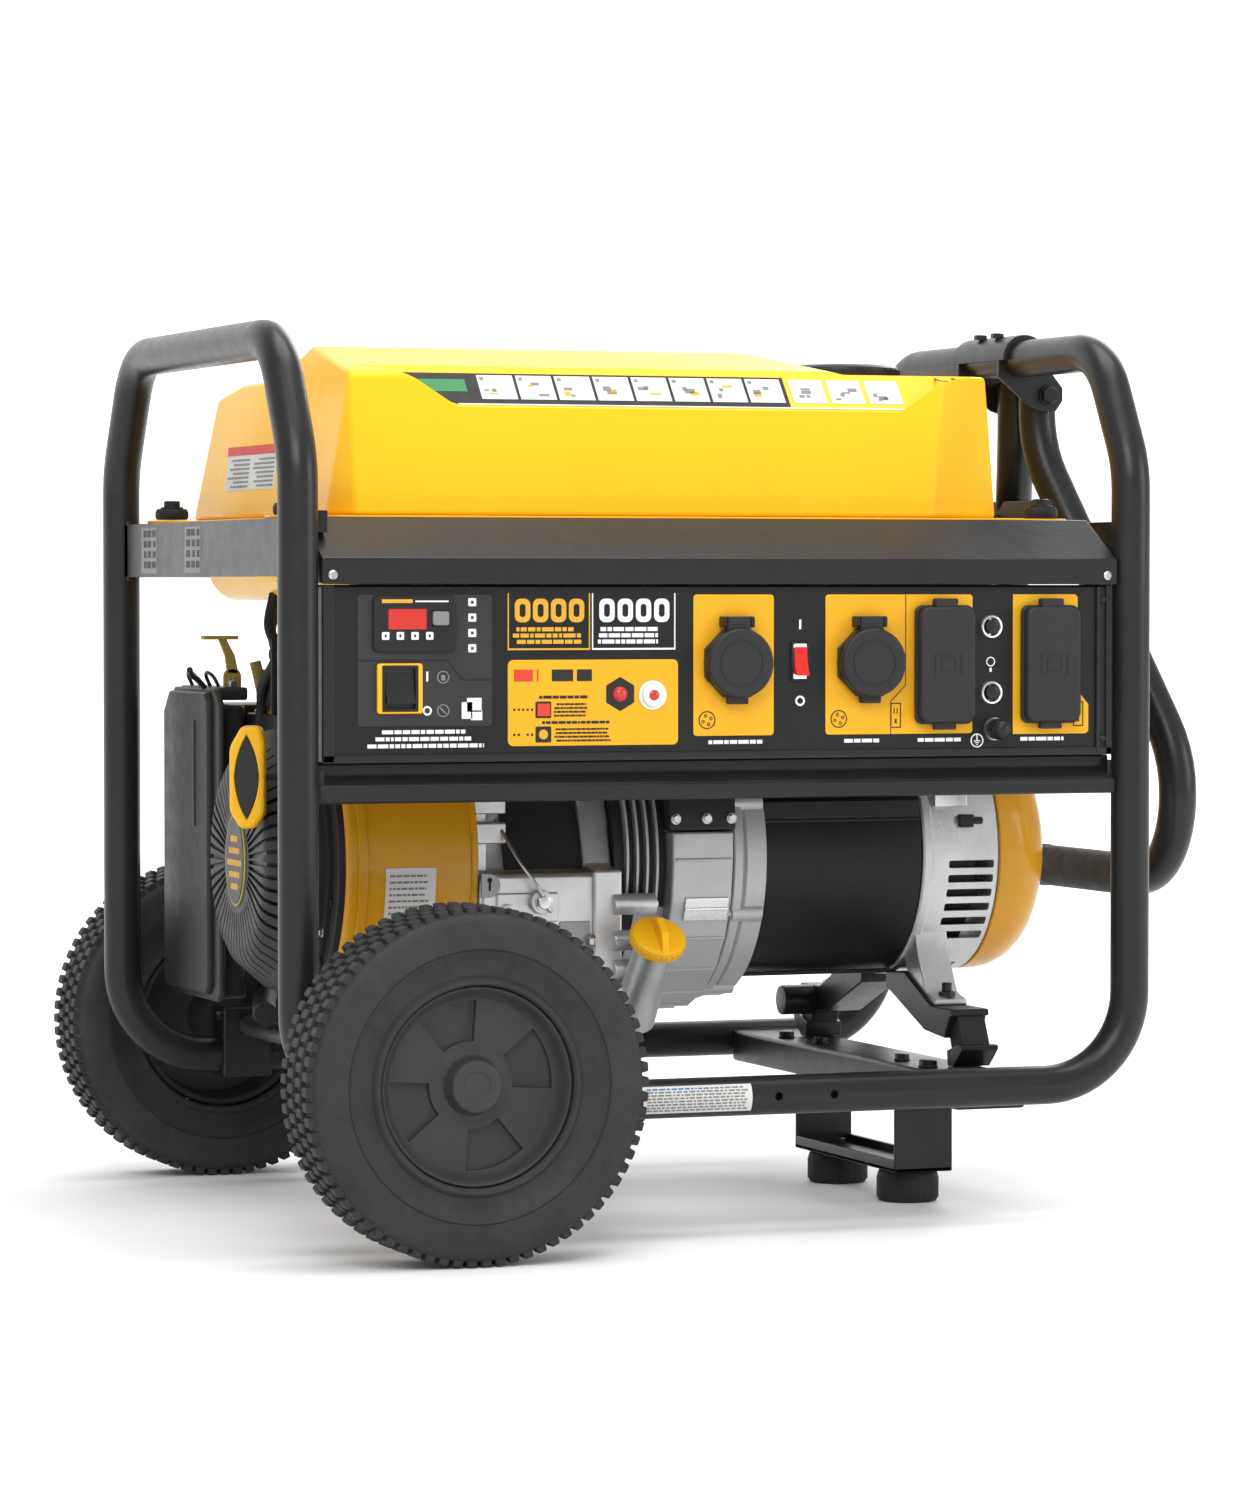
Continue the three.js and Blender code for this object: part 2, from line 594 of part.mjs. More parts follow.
const shelfX = POST_IN_X - 0.5;
add('panel_shelf', prism('X', [
  [PANEL_FACE, SHELF_Z], [PANEL_FACE, SHELF_Z + SHELF_H], [PANEL_FACE + 9, SHELF_Z + SHELF_H + 8],
  [PANEL_FACE + 9, PANEL_Z0 - GAP], [panelBack, PANEL_Z0 - GAP], [panelBack, PANEL_Z0 - GAP - SHEET],
  [PANEL_FACE + 12, PANEL_Z0 - GAP - SHEET], [PANEL_FACE + 12, SHELF_Z + SHELF_H + 6],
  [PANEL_FACE + SHEET, SHELF_Z + SHELF_H - 2], [PANEL_FACE + SHEET, SHELF_Z],
], -shelfX, shelfX), FRAME_BLACK);

// display module with a key in its right side
const displayFront = PANEL_FACE - 4;
const KEY_TRAVEL = 2;
add('display_module', cut(
  join(
    box(DISPLAY.x - DISPLAY.w / 2, DISPLAY.x + DISPLAY.w / 2, displayFront, PANEL_FACE - GAP,
      DISPLAY.z - DISPLAY.h / 2, DISPLAY.z + DISPLAY.h / 2),
    box(DISPLAY.x - DISPLAY.w / 2 + 4, DISPLAY.x + DISPLAY.w / 2 - 4, PANEL_FACE - 2,
      PANEL_FACE + 20, DISPLAY.z - DISPLAY.h / 2 + 4, DISPLAY.z + DISPLAY.h / 2 - 4),
  ),
  box(KEY.x - KEY.w / 2 - FIT, KEY.x + KEY.w / 2 + FIT, displayFront - 1, PANEL_FACE + 6,
    KEY.z - KEY.h / 2 - FIT, KEY.z + KEY.h / 2 + FIT),
), PLASTIC_BLACK);
add('display_key', box(KEY.x - KEY.w / 2, KEY.x + KEY.w / 2, displayFront - 2,
  PANEL_FACE + 6 - KEY_TRAVEL - FIT, KEY.z - KEY.h / 2, KEY.z + KEY.h / 2), PLASTIC_BLACK);

// a rocker pivots about X at the panel face; its lower half stands out at rest
const ROCK_PIVOT = PANEL_FACE + 3;
function rocker(d) {
  const h = d.h / 2 - 1.8;
  return prism('X', [
    [PANEL_FACE + 9, d.z - h * 0.7], [PANEL_FACE - 7, d.z - h], [PANEL_FACE - 3.4, d.z],
    [PANEL_FACE - 2, d.z + h], [PANEL_FACE + 9, d.z + h * 0.7],
  ], d.x - d.w / 2 + 0.4, d.x + d.w / 2 - 0.4);
}
add('engine_rocker', rocker(SWITCH), PLASTIC_BLACK);
add('breaker_rocker', rocker(ROCKER), RED);

function pushButton(d, size, front) {
  const r = size / 2;
  return turned('Y', [d.x, d.z], [[0, PANEL_FACE - front], [r - 1, PANEL_FACE - front],
    [r, PANEL_FACE - front + 1], [r, PANEL_FACE + 6], [0, PANEL_FACE + 6]], 16);
}
add('alarm_button', pushButton(ALARM, ALARM.d, 5), WHITE);
BREAKERS.forEach((b, i) => add(`breaker_button_${i + 1}`, pushButton(b, BREAKER_D, 5), PLASTIC_BLACK));
add('ground_knob', turned('Y', [GROUND.x, GROUND.z], [
  [0, PANEL_FACE - 19], [GROUND.d / 2 - 2, PANEL_FACE - 19], [GROUND.d / 2, PANEL_FACE - 16],
  [GROUND.d / 2, PANEL_FACE - 2], [2.8, PANEL_FACE - 2], [2.8, PANEL_FACE + 12], [0, PANEL_FACE + 12],
], 16), PLASTIC_BLACK);

// sockets behind flip covers; each cover hangs from an eye at its top
const SOCKET_FRONT = 3;
const COVER_T = 13;
const coverBack = PANEL_FACE - SOCKET_FRONT - GAP;
TWISTS.forEach((t, i) => {
  const n = i + 1;
  add(`twist_socket_${n}`, turned('Y', [t.x, t.z], [
    [0, PANEL_FACE - SOCKET_FRONT], [TWIST_D / 2 - 2, PANEL_FACE - SOCKET_FRONT],
    [TWIST_D / 2 - 2, PANEL_FACE - GAP], [SOCKET_BODY / 2, PANEL_FACE - GAP],
    [SOCKET_BODY / 2, PANEL_FACE + 30], [0, PANEL_FACE + 30],
  ], 20), PLASTIC_BLACK);
  const lid = new THREE.CylinderGeometry(TWIST_D / 2, TWIST_D / 2 + 1, COVER_T, 10)
    .rotateX(Math.PI).rotateY(Math.PI / 10).translate(t.x, coverBack - COVER_T / 2, t.z);
  const top = t.z + TWIST_D / 2;
  const tab = box(t.x - 9, t.x + 9, coverBack - 9, coverBack, top - 6, top + 8);
  const lip = box(t.x - 8, t.x + 8, coverBack - 6, coverBack, t.z - TWIST_D / 2 - 4, t.z - 20);
  add(`twist_cover_${n}`, join(lid, tab, lip), PLASTIC_BLACK);
});
DUPLEXES.forEach((d, i) => {
  const n = i + 1;
  const bw = DUPLEX_BODY.w / 2;
  const bh = DUPLEX_BODY.h / 2;
  add(`duplex_socket_${n}`, join(
    box(d.x - bw, d.x + bw, PANEL_FACE - SOCKET_FRONT, PANEL_FACE + 28, d.z - bh, d.z + bh),
    box(d.x - bw - 2, d.x + bw + 2, PANEL_FACE - SOCKET_FRONT, PANEL_FACE - GAP, d.z - bh - 3,
      d.z + bh + 3),
  ), PLASTIC_BLACK);
  const w = DUPLEX.w / 2;
  const h = DUPLEX.h / 2;
  const lid = prism('Y', rectangle(d.x - w, d.x + w, d.z - h, d.z + h, 6), coverBack - COVER_T + 2,
    coverBack, 3);
  const tab = box(d.x - 9, d.x + 9, coverBack - 8, coverBack, d.z + h - 2, d.z + h + 5);
  const lip = box(d.x - 9, d.x + 9, coverBack - 5, coverBack, d.z - h - 4, d.z - h + 2);
  add(`duplex_cover_${n}`, join(lid, tab, lip), PLASTIC_BLACK);
});

// ---------------------------------------------------------------- engine
const blowerX0 = RECOIL_BACK + GAP;
const blowerX1 = CASE_X0 - GAP;
function blowerOutline(inset) {
  const r = BLOWER_R - inset;
  const s = new THREE.Shape();
  s.moveTo(128 - inset, CRANK_Z - 40 + inset);
  s.lineTo(128 - inset, CRANK_Z + 112 - inset);
  s.lineTo(-44, CRANK_Z + 112 - inset);
  s.absarc(0, CRANK_Z, r, THREE.MathUtils.degToRad(115), THREE.MathUtils.degToRad(300), false);
  s.lineTo(128 - inset, CRANK_Z - 40 + inset);
  return s;
}
add('blower_housing', cut(
  prism('X', blowerOutline(0), blowerX0, blowerX1, 14),
  prism('X', blowerOutline(3), blowerX0 - 1, blowerX1 - 3, 14),
  rod('X', [0, CRANK_Z], SHAFT_R + 25, blowerX1 - 10, blowerX1 + 1, 20),
), YELLOW);

add('recoil_cover', turned('X', [0, CRANK_Z], [
  [0, RECOIL_FACE], [RECOIL_R - 26, RECOIL_FACE], [RECOIL_R - 22, RECOIL_FACE + 3],
  [RECOIL_R, RECOIL_FACE + 26], [RECOIL_R + 5, RECOIL_BACK - 3], [RECOIL_R + 5, RECOIL_BACK],
  [RECOIL_R - 4, RECOIL_BACK], [RECOIL_R - 4, RECOIL_FACE + 27], [RECOIL_R - 25, RECOIL_FACE + 5],
  [0, RECOIL_FACE + 5],
], 32), PLASTIC_BLACK);

// the starter's grip, on the slope of its cover, with the first of its rope behind it
const PULL = { x: -313.5, y: -70, z: 335, h: 76, w: 27, t: 20 };
const ropeHole = rod('X', [PULL.y, PULL.z], 3.5, RECOIL_FACE - 10, RECOIL_BACK + 5, 10);
const recoil = generator.children.find((m) => m.name === 'recoil_cover');
recoil.geometry = tidy(cut(recoil.geometry, ropeHole));
add('pull_grip', join(
  prism('X', rectangle(PULL.y - PULL.w / 2, PULL.y + PULL.w / 2, PULL.z - PULL.h / 2,
    PULL.z + PULL.h / 2, 12), PULL.x - PULL.t / 2, PULL.x + PULL.t / 2, 4),
  rod('X', [PULL.y, PULL.z], 2.5, PULL.x, RECOIL_BACK - 5, 8),
), YELLOW);

// crankcase: low at the front, with a sloping deck for the cylinder at the rear
const tilt = THREE.MathUtils.degToRad(CYL_TILT);
const along = [Math.cos(tilt), Math.sin(tilt)];
const across = [-Math.sin(tilt), Math.cos(tilt)];
function inCylinder(w, v) {
  return [w * along[0] + v * across[0], CRANK_Z + w * along[1] + v * across[1]];
}
const caseOutline = [
  [-120, CASE_BASE], [106, CASE_BASE], [106, 240], inCylinder(DECK, -60), inCylinder(DECK, 60),
  [-20, 372], [-66, 345], [-84, 300], [-96, 262], [-120, 262],
];
add('crankcase', cut(
  prism('X', caseOutline, CASE_X0, CASE_X1),
  rod('X', [0, CRANK_Z], 64, CASE_X0 + 12, CASE_X1 - 12, 24),
  rod('X', [0, CRANK_Z], SHAFT_R + 3, CASE_X0 - 1, CASE_X1 + 1, 20),
), CAST);

// finned cylinder with its head and rocker cover
const CYL_X = (CASE_X0 + CASE_X1) / 2;
function cylinderBlock(w0, w1, halfX, halfV) {
  const g = new THREE.BoxGeometry(2 * halfX, w1 - w0, 2 * halfV);
  g.translate(0, (w0 + w1) / 2, 0);
  return g.rotateX(tilt).translate(CYL_X, 0, CRANK_Z);
}
const FINS = 7;
const finPieces = Array.from({ length: FINS }, (_, i) => {
  const w = DECK + 12 + i * 10;
  return cylinderBlock(w, w + 3.2, 58, 58);
});
add('cylinder', join(
  cylinderBlock(DECK + GAP, 172, 44, 44), ...finPieces, cylinderBlock(168, 196, 60, 56),
  cylinderBlock(194, 222, 46, 42),
), CAST);

// oil filler neck and dipstick, leaning out of the crankcase's front foot
const FILLER = { x: -26, y: -128, z: 172, r: 15, lean: 42 };
const fillerTurn = THREE.MathUtils.degToRad(FILLER.lean);
function filler(profile, sides) {
  return turned('Z', [0, 0], profile, sides).rotateX(fillerTurn)
    .translate(FILLER.x, FILLER.y, FILLER.z);
}
const NECK_L = 52;
const crankcase = generator.children.find((m) => m.name === 'crankcase');
crankcase.geometry = tidy(join(crankcase.geometry, filler([
  [0, -26], [FILLER.r + 3, -26], [FILLER.r, 0], [FILLER.r, NECK_L], [FILLER.r - 4, NECK_L],
  [FILLER.r - 4, 12], [0, 12],
], 16)));
add('dipstick', filler([
  [0, 14], [2, 14], [2, NECK_L - 12], [FILLER.r - 4 - RUN, NECK_L - 12],
  [FILLER.r - 4 - RUN, NECK_L + GAP], [FILLER.r + 6, NECK_L + GAP], [FILLER.r + 6, NECK_L + 9],
  [FILLER.r + 2, NECK_L + 14], [0, NECK_L + 14],
], 16), YELLOW);

// muffler at the rear, fed by a short pipe from the head
const MUFFLER = { x0: 4, x1: 190, y0: 122, y1: 222, z0: 318, z1: 432, wall: 3 };
const pipeAt = [175, 358];
function mufflerBox(inset) {
  const outline = rectangle(MUFFLER.y0 + inset, MUFFLER.y1 - inset, MUFFLER.z0 + inset,
    MUFFLER.z1 - inset, 22 - inset);
  return prism('X', outline, MUFFLER.x0 + inset, MUFFLER.x1 - inset, 4);
}
add('muffler', cut(
  join(
    mufflerBox(0),
    rod('X', pipeAt, 15, CYL_X + 60 + GAP, MUFFLER.x0 + 1, 16),
    rod('X', [MUFFLER.y1 - 34, MUFFLER.z1 - 34], 12, MUFFLER.x1 - 5, MUFFLER.x1 + 28, 16),
  ),
  mufflerBox(MUFFLER.wall),
  rod('X', [MUFFLER.y1 - 34, MUFFLER.z1 - 34], 9, MUFFLER.x1 - 10, MUFFLER.x1 + 29, 16),
), STEEL);

// tall air cleaner beside the starter: a wide cover on a deeper box, with a lug for the lever
const LEVER = { x: -270, y: 120, z: 400.3 };
add('air_cleaner', join(
  prism('Z', rectangle(-288, -262, 106, 230, 6), 157, 392, 3),
  prism('X', rectangle(91, 236, 155, 397, 9), -294, -287, 3),
  box(-264, -205, 140, 228, 190, 384),
  box(LEVER.x - 8, LEVER.x + 8, LEVER.y + 2 + GAP, LEVER.y + 8, 390, LEVER.z + 7),
), PLASTIC_BLACK);

// carburettor between the air cleaner's back and the head's inlet
add('carburettor', join(
  box(-204.7, -150.5, 150, 206, 330, 376),
  rod('Z', [-176, 178], 22, 300, 340, 16),
  rod('X', [178, 352], 17, -152, CYL_X - 60 - GAP, 16),
), CAST);

// choke lever on the air cleaner's lug
add('choke_lever', join(
  prism('Y', rectangle(LEVER.x - 7, LEVER.x + 7, LEVER.z - 8, LEVER.z + 40, 6), LEVER.y - 2, LEVER.y + 2, 3),
  box(LEVER.x - 24, LEVER.x + 4, LEVER.y - 5, LEVER.y + 5, LEVER.z + 33, LEVER.z + 38),
), YELLOW);

// ---------------------------------------------------------------- alternator
const HOUSING_X0 = CASE_X1 + GAP;
const FLANGE_X = HOUSING_X1 - 17;
add('coupling_housing', turned('X', [0, CRANK_Z], [
  [SHAFT_R + 4, HOUSING_X0], [98, HOUSING_X0], [106, 4], [HOUSING_R, 8], [HOUSING_R - 6, 40],
  [110, FLANGE_X - 6], [112, FLANGE_X], [112, HOUSING_X1], [102, HOUSING_X1], [100, FLANGE_X - 8],
  [108, 16], [92, 12], [SHAFT_R + 4, 8], [SHAFT_R + 4, HOUSING_X0],
], 20), CAST);
add('alternator_shell', turned('X', [0, CRANK_Z], [
  [ALT_BORE, HOUSING_X1 + GAP], [ALT_R, HOUSING_X1 + GAP], [ALT_R, STATOR_X1 - GAP],
  [ALT_BORE, STATOR_X1 - GAP], [ALT_BORE, HOUSING_X1 + GAP],
], 32), PANEL_BLACK);

// slotted end bracket on two spread feet
const SLOTS = 6;
const SLOT_PITCH = 11.2;
const FIRST_SLOT = CRANK_Z - 8.5;
const FOOT_TOP = 166;
const FOOT_OUT = 128;
const footX = [222, 256];
function bracketFoot(side) {
  return prism('X', [[side * 60, 205], [side * 92, 232], [side * (FOOT_OUT + 16), FOOT_TOP + 8],
    [side * (FOOT_OUT + 16), FOOT_TOP], [side * (FOOT_OUT - 22), FOOT_TOP]], ...footX);
}
const bracketBody = turned('X', [0, CRANK_Z], [
  [ALT_R - 8, STATOR_X1], [ALT_R + 1, STATOR_X1], [ALT_R, BRACKET_X1], [SHAFT_R + 4, BRACKET_X1],
  [SHAFT_R + 4, BRACKET_X1 - 14], [ALT_R - 10, BRACKET_X1 - 14], [ALT_R - 8, STATOR_X1],
], 32);
const slots = Array.from({ length: SLOTS }, (_, i) => {
  const z = FIRST_SLOT - i * SLOT_PITCH;
  return box(STATOR_X1 + 22, BRACKET_X1 - 5, -ALT_R - 5, -50, z - 3, z + 3);
});
const slottedBody = cut(bracketBody, ...slots,
  rod('X', [0, CRANK_Z], ALT_R - 10, STATOR_X1 - 1, BRACKET_X1 - 14, 32));
add('end_bracket', join(slottedBody, bracketFoot(-1), bracketFoot(1)), CAST);
add('end_cap', turned('X', [0, CRANK_Z], [
  [ALT_R - 1, BRACKET_X1 + GAP], [ALT_R - 2, CAP_END - 26], [ALT_R - 9, CAP_END - 10],
  [ALT_R - 22, CAP_END - 2], [ALT_R - 34, CAP_END], [0, CAP_END], [0, CAP_END - 4],
  [ALT_R - 36, CAP_END - 4], [ALT_R - 12, CAP_END - 13], [ALT_R - 5, BRACKET_X1 + GAP],
  [ALT_R - 1, BRACKET_X1 + GAP],
], 32), YELLOW);

// everything that turns: flywheel, crankshaft, cooling fan and rotor
const AIR = ALT_BORE - 1.5;
add('crankshaft_rotor', turned('X', [0, CRANK_Z], [
  [0, -250], [SHAFT_R, -250], [SHAFT_R, -240], [96, -240], [96, -205], [40, -200], [SHAFT_R, -198],
  [SHAFT_R, -118], [46, -118], [46, -96], [18, -96], [18, -76], [46, -76], [46, -54], [SHAFT_R, -54],
  [SHAFT_R, 20], [84, 20], [84, 44], [SHAFT_R, 46], [SHAFT_R, 92], [AIR, 92], [AIR, 212],
  [SHAFT_R, 214], [SHAFT_R, 300], [22, 300], [22, 318], [0, 318],
], 20), STEEL);

// rubber isolators that carry the bracket's feet, leaning in towards the shaft
for (const [name, side] of [['front_mount', -1], ['rear_mount', 1]]) {
  add(name, prism('X', [
    [side * 126, MEMBER_TOP + GAP], [side * 166, MEMBER_TOP + GAP], [side * 168, MEMBER_TOP + 6],
    [side * 152, MEMBER_TOP + 12], [side * 142, FOOT_TOP - 14], [side * 146, FOOT_TOP - 6],
    [side * 142, FOOT_TOP - GAP], [side * 108, FOOT_TOP - GAP], [side * 108, FOOT_TOP - 6],
    [side * 122, FOOT_TOP - 14], [side * 132, MEMBER_TOP + 12], [side * 124, MEMBER_TOP + 6],
  ], footX[0] + 1, footX[1] - 11), RUBBER);
}

// ---------------------------------------------------------------- handle
const CLAMP_Y = 50;
const SADDLE_R = TUBE_R + 4.5;
const clampBore = TUBE_R + 0.9;
const earIn = ARM_TOP_Y + TUBE_R + 2;
function clampEar(side) {
  const y0 = side < 0 ? -earIn - EAR_T : earIn;
  return prism('Y', [
    [POST_X - SADDLE_R, TOP_Z], [POST_X - SADDLE_R, TOP_Z - 18], [PIVOT_X - 10, PIVOT_Z - 12],
    [PIVOT_X + 8, PIVOT_Z - 12], [PIVOT_X + 12, PIVOT_Z + 2], [POST_X + SADDLE_R, TOP_Z],
  ], y0, y0 + EAR_T);
}
const saddle = cut(
  join(
    rod('Y', [POST_X, TOP_Z], SADDLE_R, -CLAMP_Y, CLAMP_Y, 20),
    box(POST_X - 22, POST_X + 6, -30, 30, TOP_Z + 10, TOP_Z + SADDLE_R + 2),
  ),
  box(POST_X - 40, POST_X + 40, -CLAMP_Y - 1, CLAMP_Y + 1, TOP_Z - 40, TOP_Z - 1),
);
add('handle_clamp', cut(join(saddle, clampEar(-1), clampEar(1)),
  rod('Y', [POST_X, TOP_Z], clampBore, -CLAMP_Y - 1, CLAMP_Y + 1, 24),
  rod('Y', [PIVOT_X, PIVOT_Z], PIN_D / 2 + RUN, -CLAMP_Y - 1, CLAMP_Y + 1, 16)), FRAME_BLACK);
const pinEnd = earIn + EAR_T + GAP;
add('handle_pin', turned('Y', [PIVOT_X, PIVOT_Z], [
  [0, -pinEnd - 6], [PIN_D / 2 + 3, -pinEnd - 6], [PIN_D / 2 + 3, -pinEnd], [PIN_D / 2, -pinEnd],
  [PIN_D / 2, pinEnd], [PIN_D / 2 + 3, pinEnd], [PIN_D / 2 + 3, pinEnd + 6], [0, pinEnd + 6],
], 12), STEEL);

const ARM_KNEE_Z = PIVOT_Z - 41;
const ARM_HIP_Z = 345;
const armEnd = PIVOT_Z + 12;
const handleCorners = [
  [PIVOT_X, -ARM_TOP_Y, armEnd], [PIVOT_X, -ARM_TOP_Y, ARM_KNEE_Z], [GRIP_X, -ARM_LOW_Y, ARM_HIP_Z],
  [GRIP_X, -ARM_LOW_Y, GRIP_Z], [GRIP_X, ARM_LOW_Y, GRIP_Z], [GRIP_X, ARM_LOW_Y, ARM_HIP_Z],
  [PIVOT_X, ARM_TOP_Y, ARM_KNEE_Z], [PIVOT_X, ARM_TOP_Y, armEnd],
];
const handleTube = bentTube(handleCorners, [100, 100, 65, 65, 100, 100], TUBE_R, TUBE_WALL);
const tieZ = 528;
const tieDrop = (ARM_KNEE_Z - tieZ) / (ARM_KNEE_Z - ARM_HIP_Z);
const tieX = PIVOT_X + tieDrop * (GRIP_X - PIVOT_X) - TUBE_R;
const tieY = ARM_TOP_Y + tieDrop * (ARM_LOW_Y - ARM_TOP_Y) + 8;
const tiePlate = box(tieX - 3, tieX + 4, -tieY, tieY, tieZ - 16, tieZ + 16);
add('handle', cut(join(handleTube, tiePlate),
  rod('Y', [PIVOT_X, PIVOT_Z], PIN_D / 2 + RUN, -CLAMP_Y, CLAMP_Y, 16)), FRAME_BLACK);
const gripHalf = 84;
add('handle_grip', turned('Y', [GRIP_X, GRIP_Z], [
  [TUBE_R + 0.5, -gripHalf], [GRIP_D / 2, -gripHalf], [GRIP_D / 2, gripHalf],
  [TUBE_R + 0.5, gripHalf], [TUBE_R + 0.5, -gripHalf],
], 20), RUBBER);

// the origin is under the middle of the whole object, on the floor
const extent = new THREE.Box3().setFromObject(generator);
generator.position.x = -(extent.min.x + extent.max.x) / 2;

export default generator;
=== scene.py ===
# Looks of the portable generator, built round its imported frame. Sizes are in millimetres until a
# mesh is made; X runs along the crankshaft from the middle of the four posts, -Y is the panel side.
import math
import random

import bmesh
import bpy
from mathutils import Matrix, Vector


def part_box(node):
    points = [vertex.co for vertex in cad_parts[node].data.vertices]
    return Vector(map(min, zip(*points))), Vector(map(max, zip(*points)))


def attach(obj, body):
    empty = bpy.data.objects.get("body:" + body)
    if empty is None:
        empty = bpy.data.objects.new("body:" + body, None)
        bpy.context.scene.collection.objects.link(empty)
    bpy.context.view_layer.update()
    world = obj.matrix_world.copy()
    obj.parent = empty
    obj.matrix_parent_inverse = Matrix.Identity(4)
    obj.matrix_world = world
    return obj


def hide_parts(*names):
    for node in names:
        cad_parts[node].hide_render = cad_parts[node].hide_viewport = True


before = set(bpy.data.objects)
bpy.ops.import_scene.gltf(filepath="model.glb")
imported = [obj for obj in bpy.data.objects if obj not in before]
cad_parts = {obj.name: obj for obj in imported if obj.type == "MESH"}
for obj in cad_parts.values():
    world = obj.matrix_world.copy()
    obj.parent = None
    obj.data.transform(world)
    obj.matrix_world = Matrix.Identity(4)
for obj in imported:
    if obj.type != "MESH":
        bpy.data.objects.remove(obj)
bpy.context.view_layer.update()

MM = 0.001


# ---------------------------------------------------------------- sizes taken from the frame
def corners_of(node):
    """Lowest and highest corner of a CAD node, in millimetres from the middle of the posts."""
    low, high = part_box(node)
    return (low - ORIGIN) / MM, (high - ORIGIN) / MM


ORIGIN = Vector(((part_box("left_hoop")[0].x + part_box("right_hoop")[1].x) / 2, 0, 0))
HOOP_HI = corners_of("right_hoop")[1]
TUBE_R = 14.5
POST_X = HOOP_HI.x - TUBE_R
POST_Y = 238.2
RAIL_Z = 103.0
TOP_Z = 654.0
FACE = corners_of("control_panel")[0].y
CRANK_Z = 270.0
SHAFT = (0, CRANK_Z)
MEMBER_TOP = corners_of("alternator_cross_member")[1].z
FOOT_X = 218.0
FOOT_Y = 70
MEMBER_H = 25
SIDES = (-1, 1)


# ---------------------------------------------------------------- materials
MATERIALS = {}


class Nodes:
    """A small wrapper that adds shader nodes and links them by name."""

    def __init__(self, name):
        self.material = bpy.data.materials.new(name)
        self.material.use_nodes = True
        self.tree = self.material.node_tree
        self.shader = self.tree.nodes["Principled BSDF"]
        coords = self.tree.nodes.new("ShaderNodeTexCoord")
        self.coords = coords.outputs["Object"]

    def link(self, out, into):
        self.tree.links.new(out, into)

    def noise(self, scale, detail=3.0, rough=0.5, stretch=None):
        node = self.tree.nodes.new("ShaderNodeTexNoise")
        node.inputs["Scale"].default_value = scale
        node.inputs["Detail"].default_value = detail
        node.inputs["Roughness"].default_value = rough
        if stretch:
            mapping = self.tree.nodes.new("ShaderNodeMapping")
            mapping.inputs["Scale"].default_value = stretch
            self.link(self.coords, mapping.inputs["Vector"])
            self.link(mapping.outputs["Vector"], node.inputs["Vector"])
        else:
            self.link(self.coords, node.inputs["Vector"])
        return node.outputs["Fac"]

    def remap(self, value, low, high, start=0.3, stop=0.7):
        node = self.tree.nodes.new("ShaderNodeMapRange")
        node.inputs["From Min"].default_value = start
        node.inputs["From Max"].default_value = stop
        node.inputs["To Min"].default_value = low
        node.inputs["To Max"].default_value = high
        self.link(value, node.inputs["Value"])
        return node.outputs["Result"]

    def mix(self, factor, a, b):
        node = self.tree.nodes.new("ShaderNodeMix")
        node.data_type = "RGBA"
        node.inputs["A"].default_value = (*a, 1)
        node.inputs["B"].default_value = (*b, 1)
        self.link(factor, node.inputs["Factor"])
        return node.outputs["Result"]

    def bump(self, height, distance, strength=1.0, below=None):
        node = self.tree.nodes.new("ShaderNodeBump")
        node.inputs["Distance"].default_value = distance
        node.inputs["Strength"].default_value = strength
        self.link(height, node.inputs["Height"])
        if below is not None:
            self.link(below, node.inputs["Normal"])
        return node.outputs["Normal"]


def shade(color, factor):
    return tuple(c * factor for c in color)


def surface(name, color, rough, metal=0.0, spread=0.12, patch=14.0, grain=900.0,
            grain_depth=0.00006, wave=None, coat=0.0, specular=0.24, stretch=None):
    """A finish with slow colour drift, uneven gloss and fine grain, each set by its own scale."""
    n = Nodes(name)
    drift = n.noise(patch, 4.0, 0.6)
    tone = n.mix(n.remap(drift, 0, 1), shade(color, 1 - spread), shade(color, 1 + spread))
    n.link(tone, n.shader.inputs["Base Color"])
    smudge = n.noise(patch * 5, 5.0, 0.65)
    n.link(n.remap(smudge, rough * 0.85, rough * 1.15), n.shader.inputs["Roughness"])
    n.shader.inputs["Metallic"].default_value = metal
    n.shader.inputs["Specular IOR Level"].default_value = specular
    n.shader.inputs["Coat Weight"].default_value = coat
    n.shader.inputs["Coat Roughness"].default_value = 0.08
    normal = n.bump(n.noise(grain, 2.0, 0.5, stretch), grain_depth)
    if wave:
        normal = n.bump(n.noise(wave[0], 2.0), wave[1], below=normal)
    n.link(normal, n.shader.inputs["Normal"])
    MATERIALS[name] = n.material
    return n


surface("powder_coat", (0.0125, 0.0127, 0.0135), 0.33, grain=700, grain_depth=0.00007,
        wave=(160, 0.0001), specular=0.3)
surface("panel_paint", (0.0095, 0.0100, 0.0105), 0.42, grain=1500, grain_depth=0.00003)
surface("plate_grey", (0.030, 0.031, 0.034), 0.42, grain=1500, grain_depth=0.00002)
surface("enamel_yellow", (0.93, 0.49, 0.014), 0.3, spread=0.03, patch=5,
        grain=260, grain_depth=0.00002, wave=(30, 0.0001), coat=0.05, specular=0.16)
surface("housing_yellow", (0.62, 0.29, 0.008), 0.33, spread=0.08, patch=12, grain=500,
        grain_depth=0.00004, coat=0.2)
surface("moulded_yellow", (0.80, 0.42, 0.010), 0.36, spread=0.05, grain=1400,
        grain_depth=0.00004)
surface("plate_yellow", (0.72, 0.36, 0.012), 0.38, spread=0.04, grain=1800,
        grain_depth=0.00001)
surface("dull_brass", (0.28, 0.22, 0.05), 0.4, spread=0.15)
surface("tyre_tread", (0.026, 0.026, 0.026), 0.7, spread=0.2, patch=30, grain=1100,
        grain_depth=0.0001, specular=0.3)
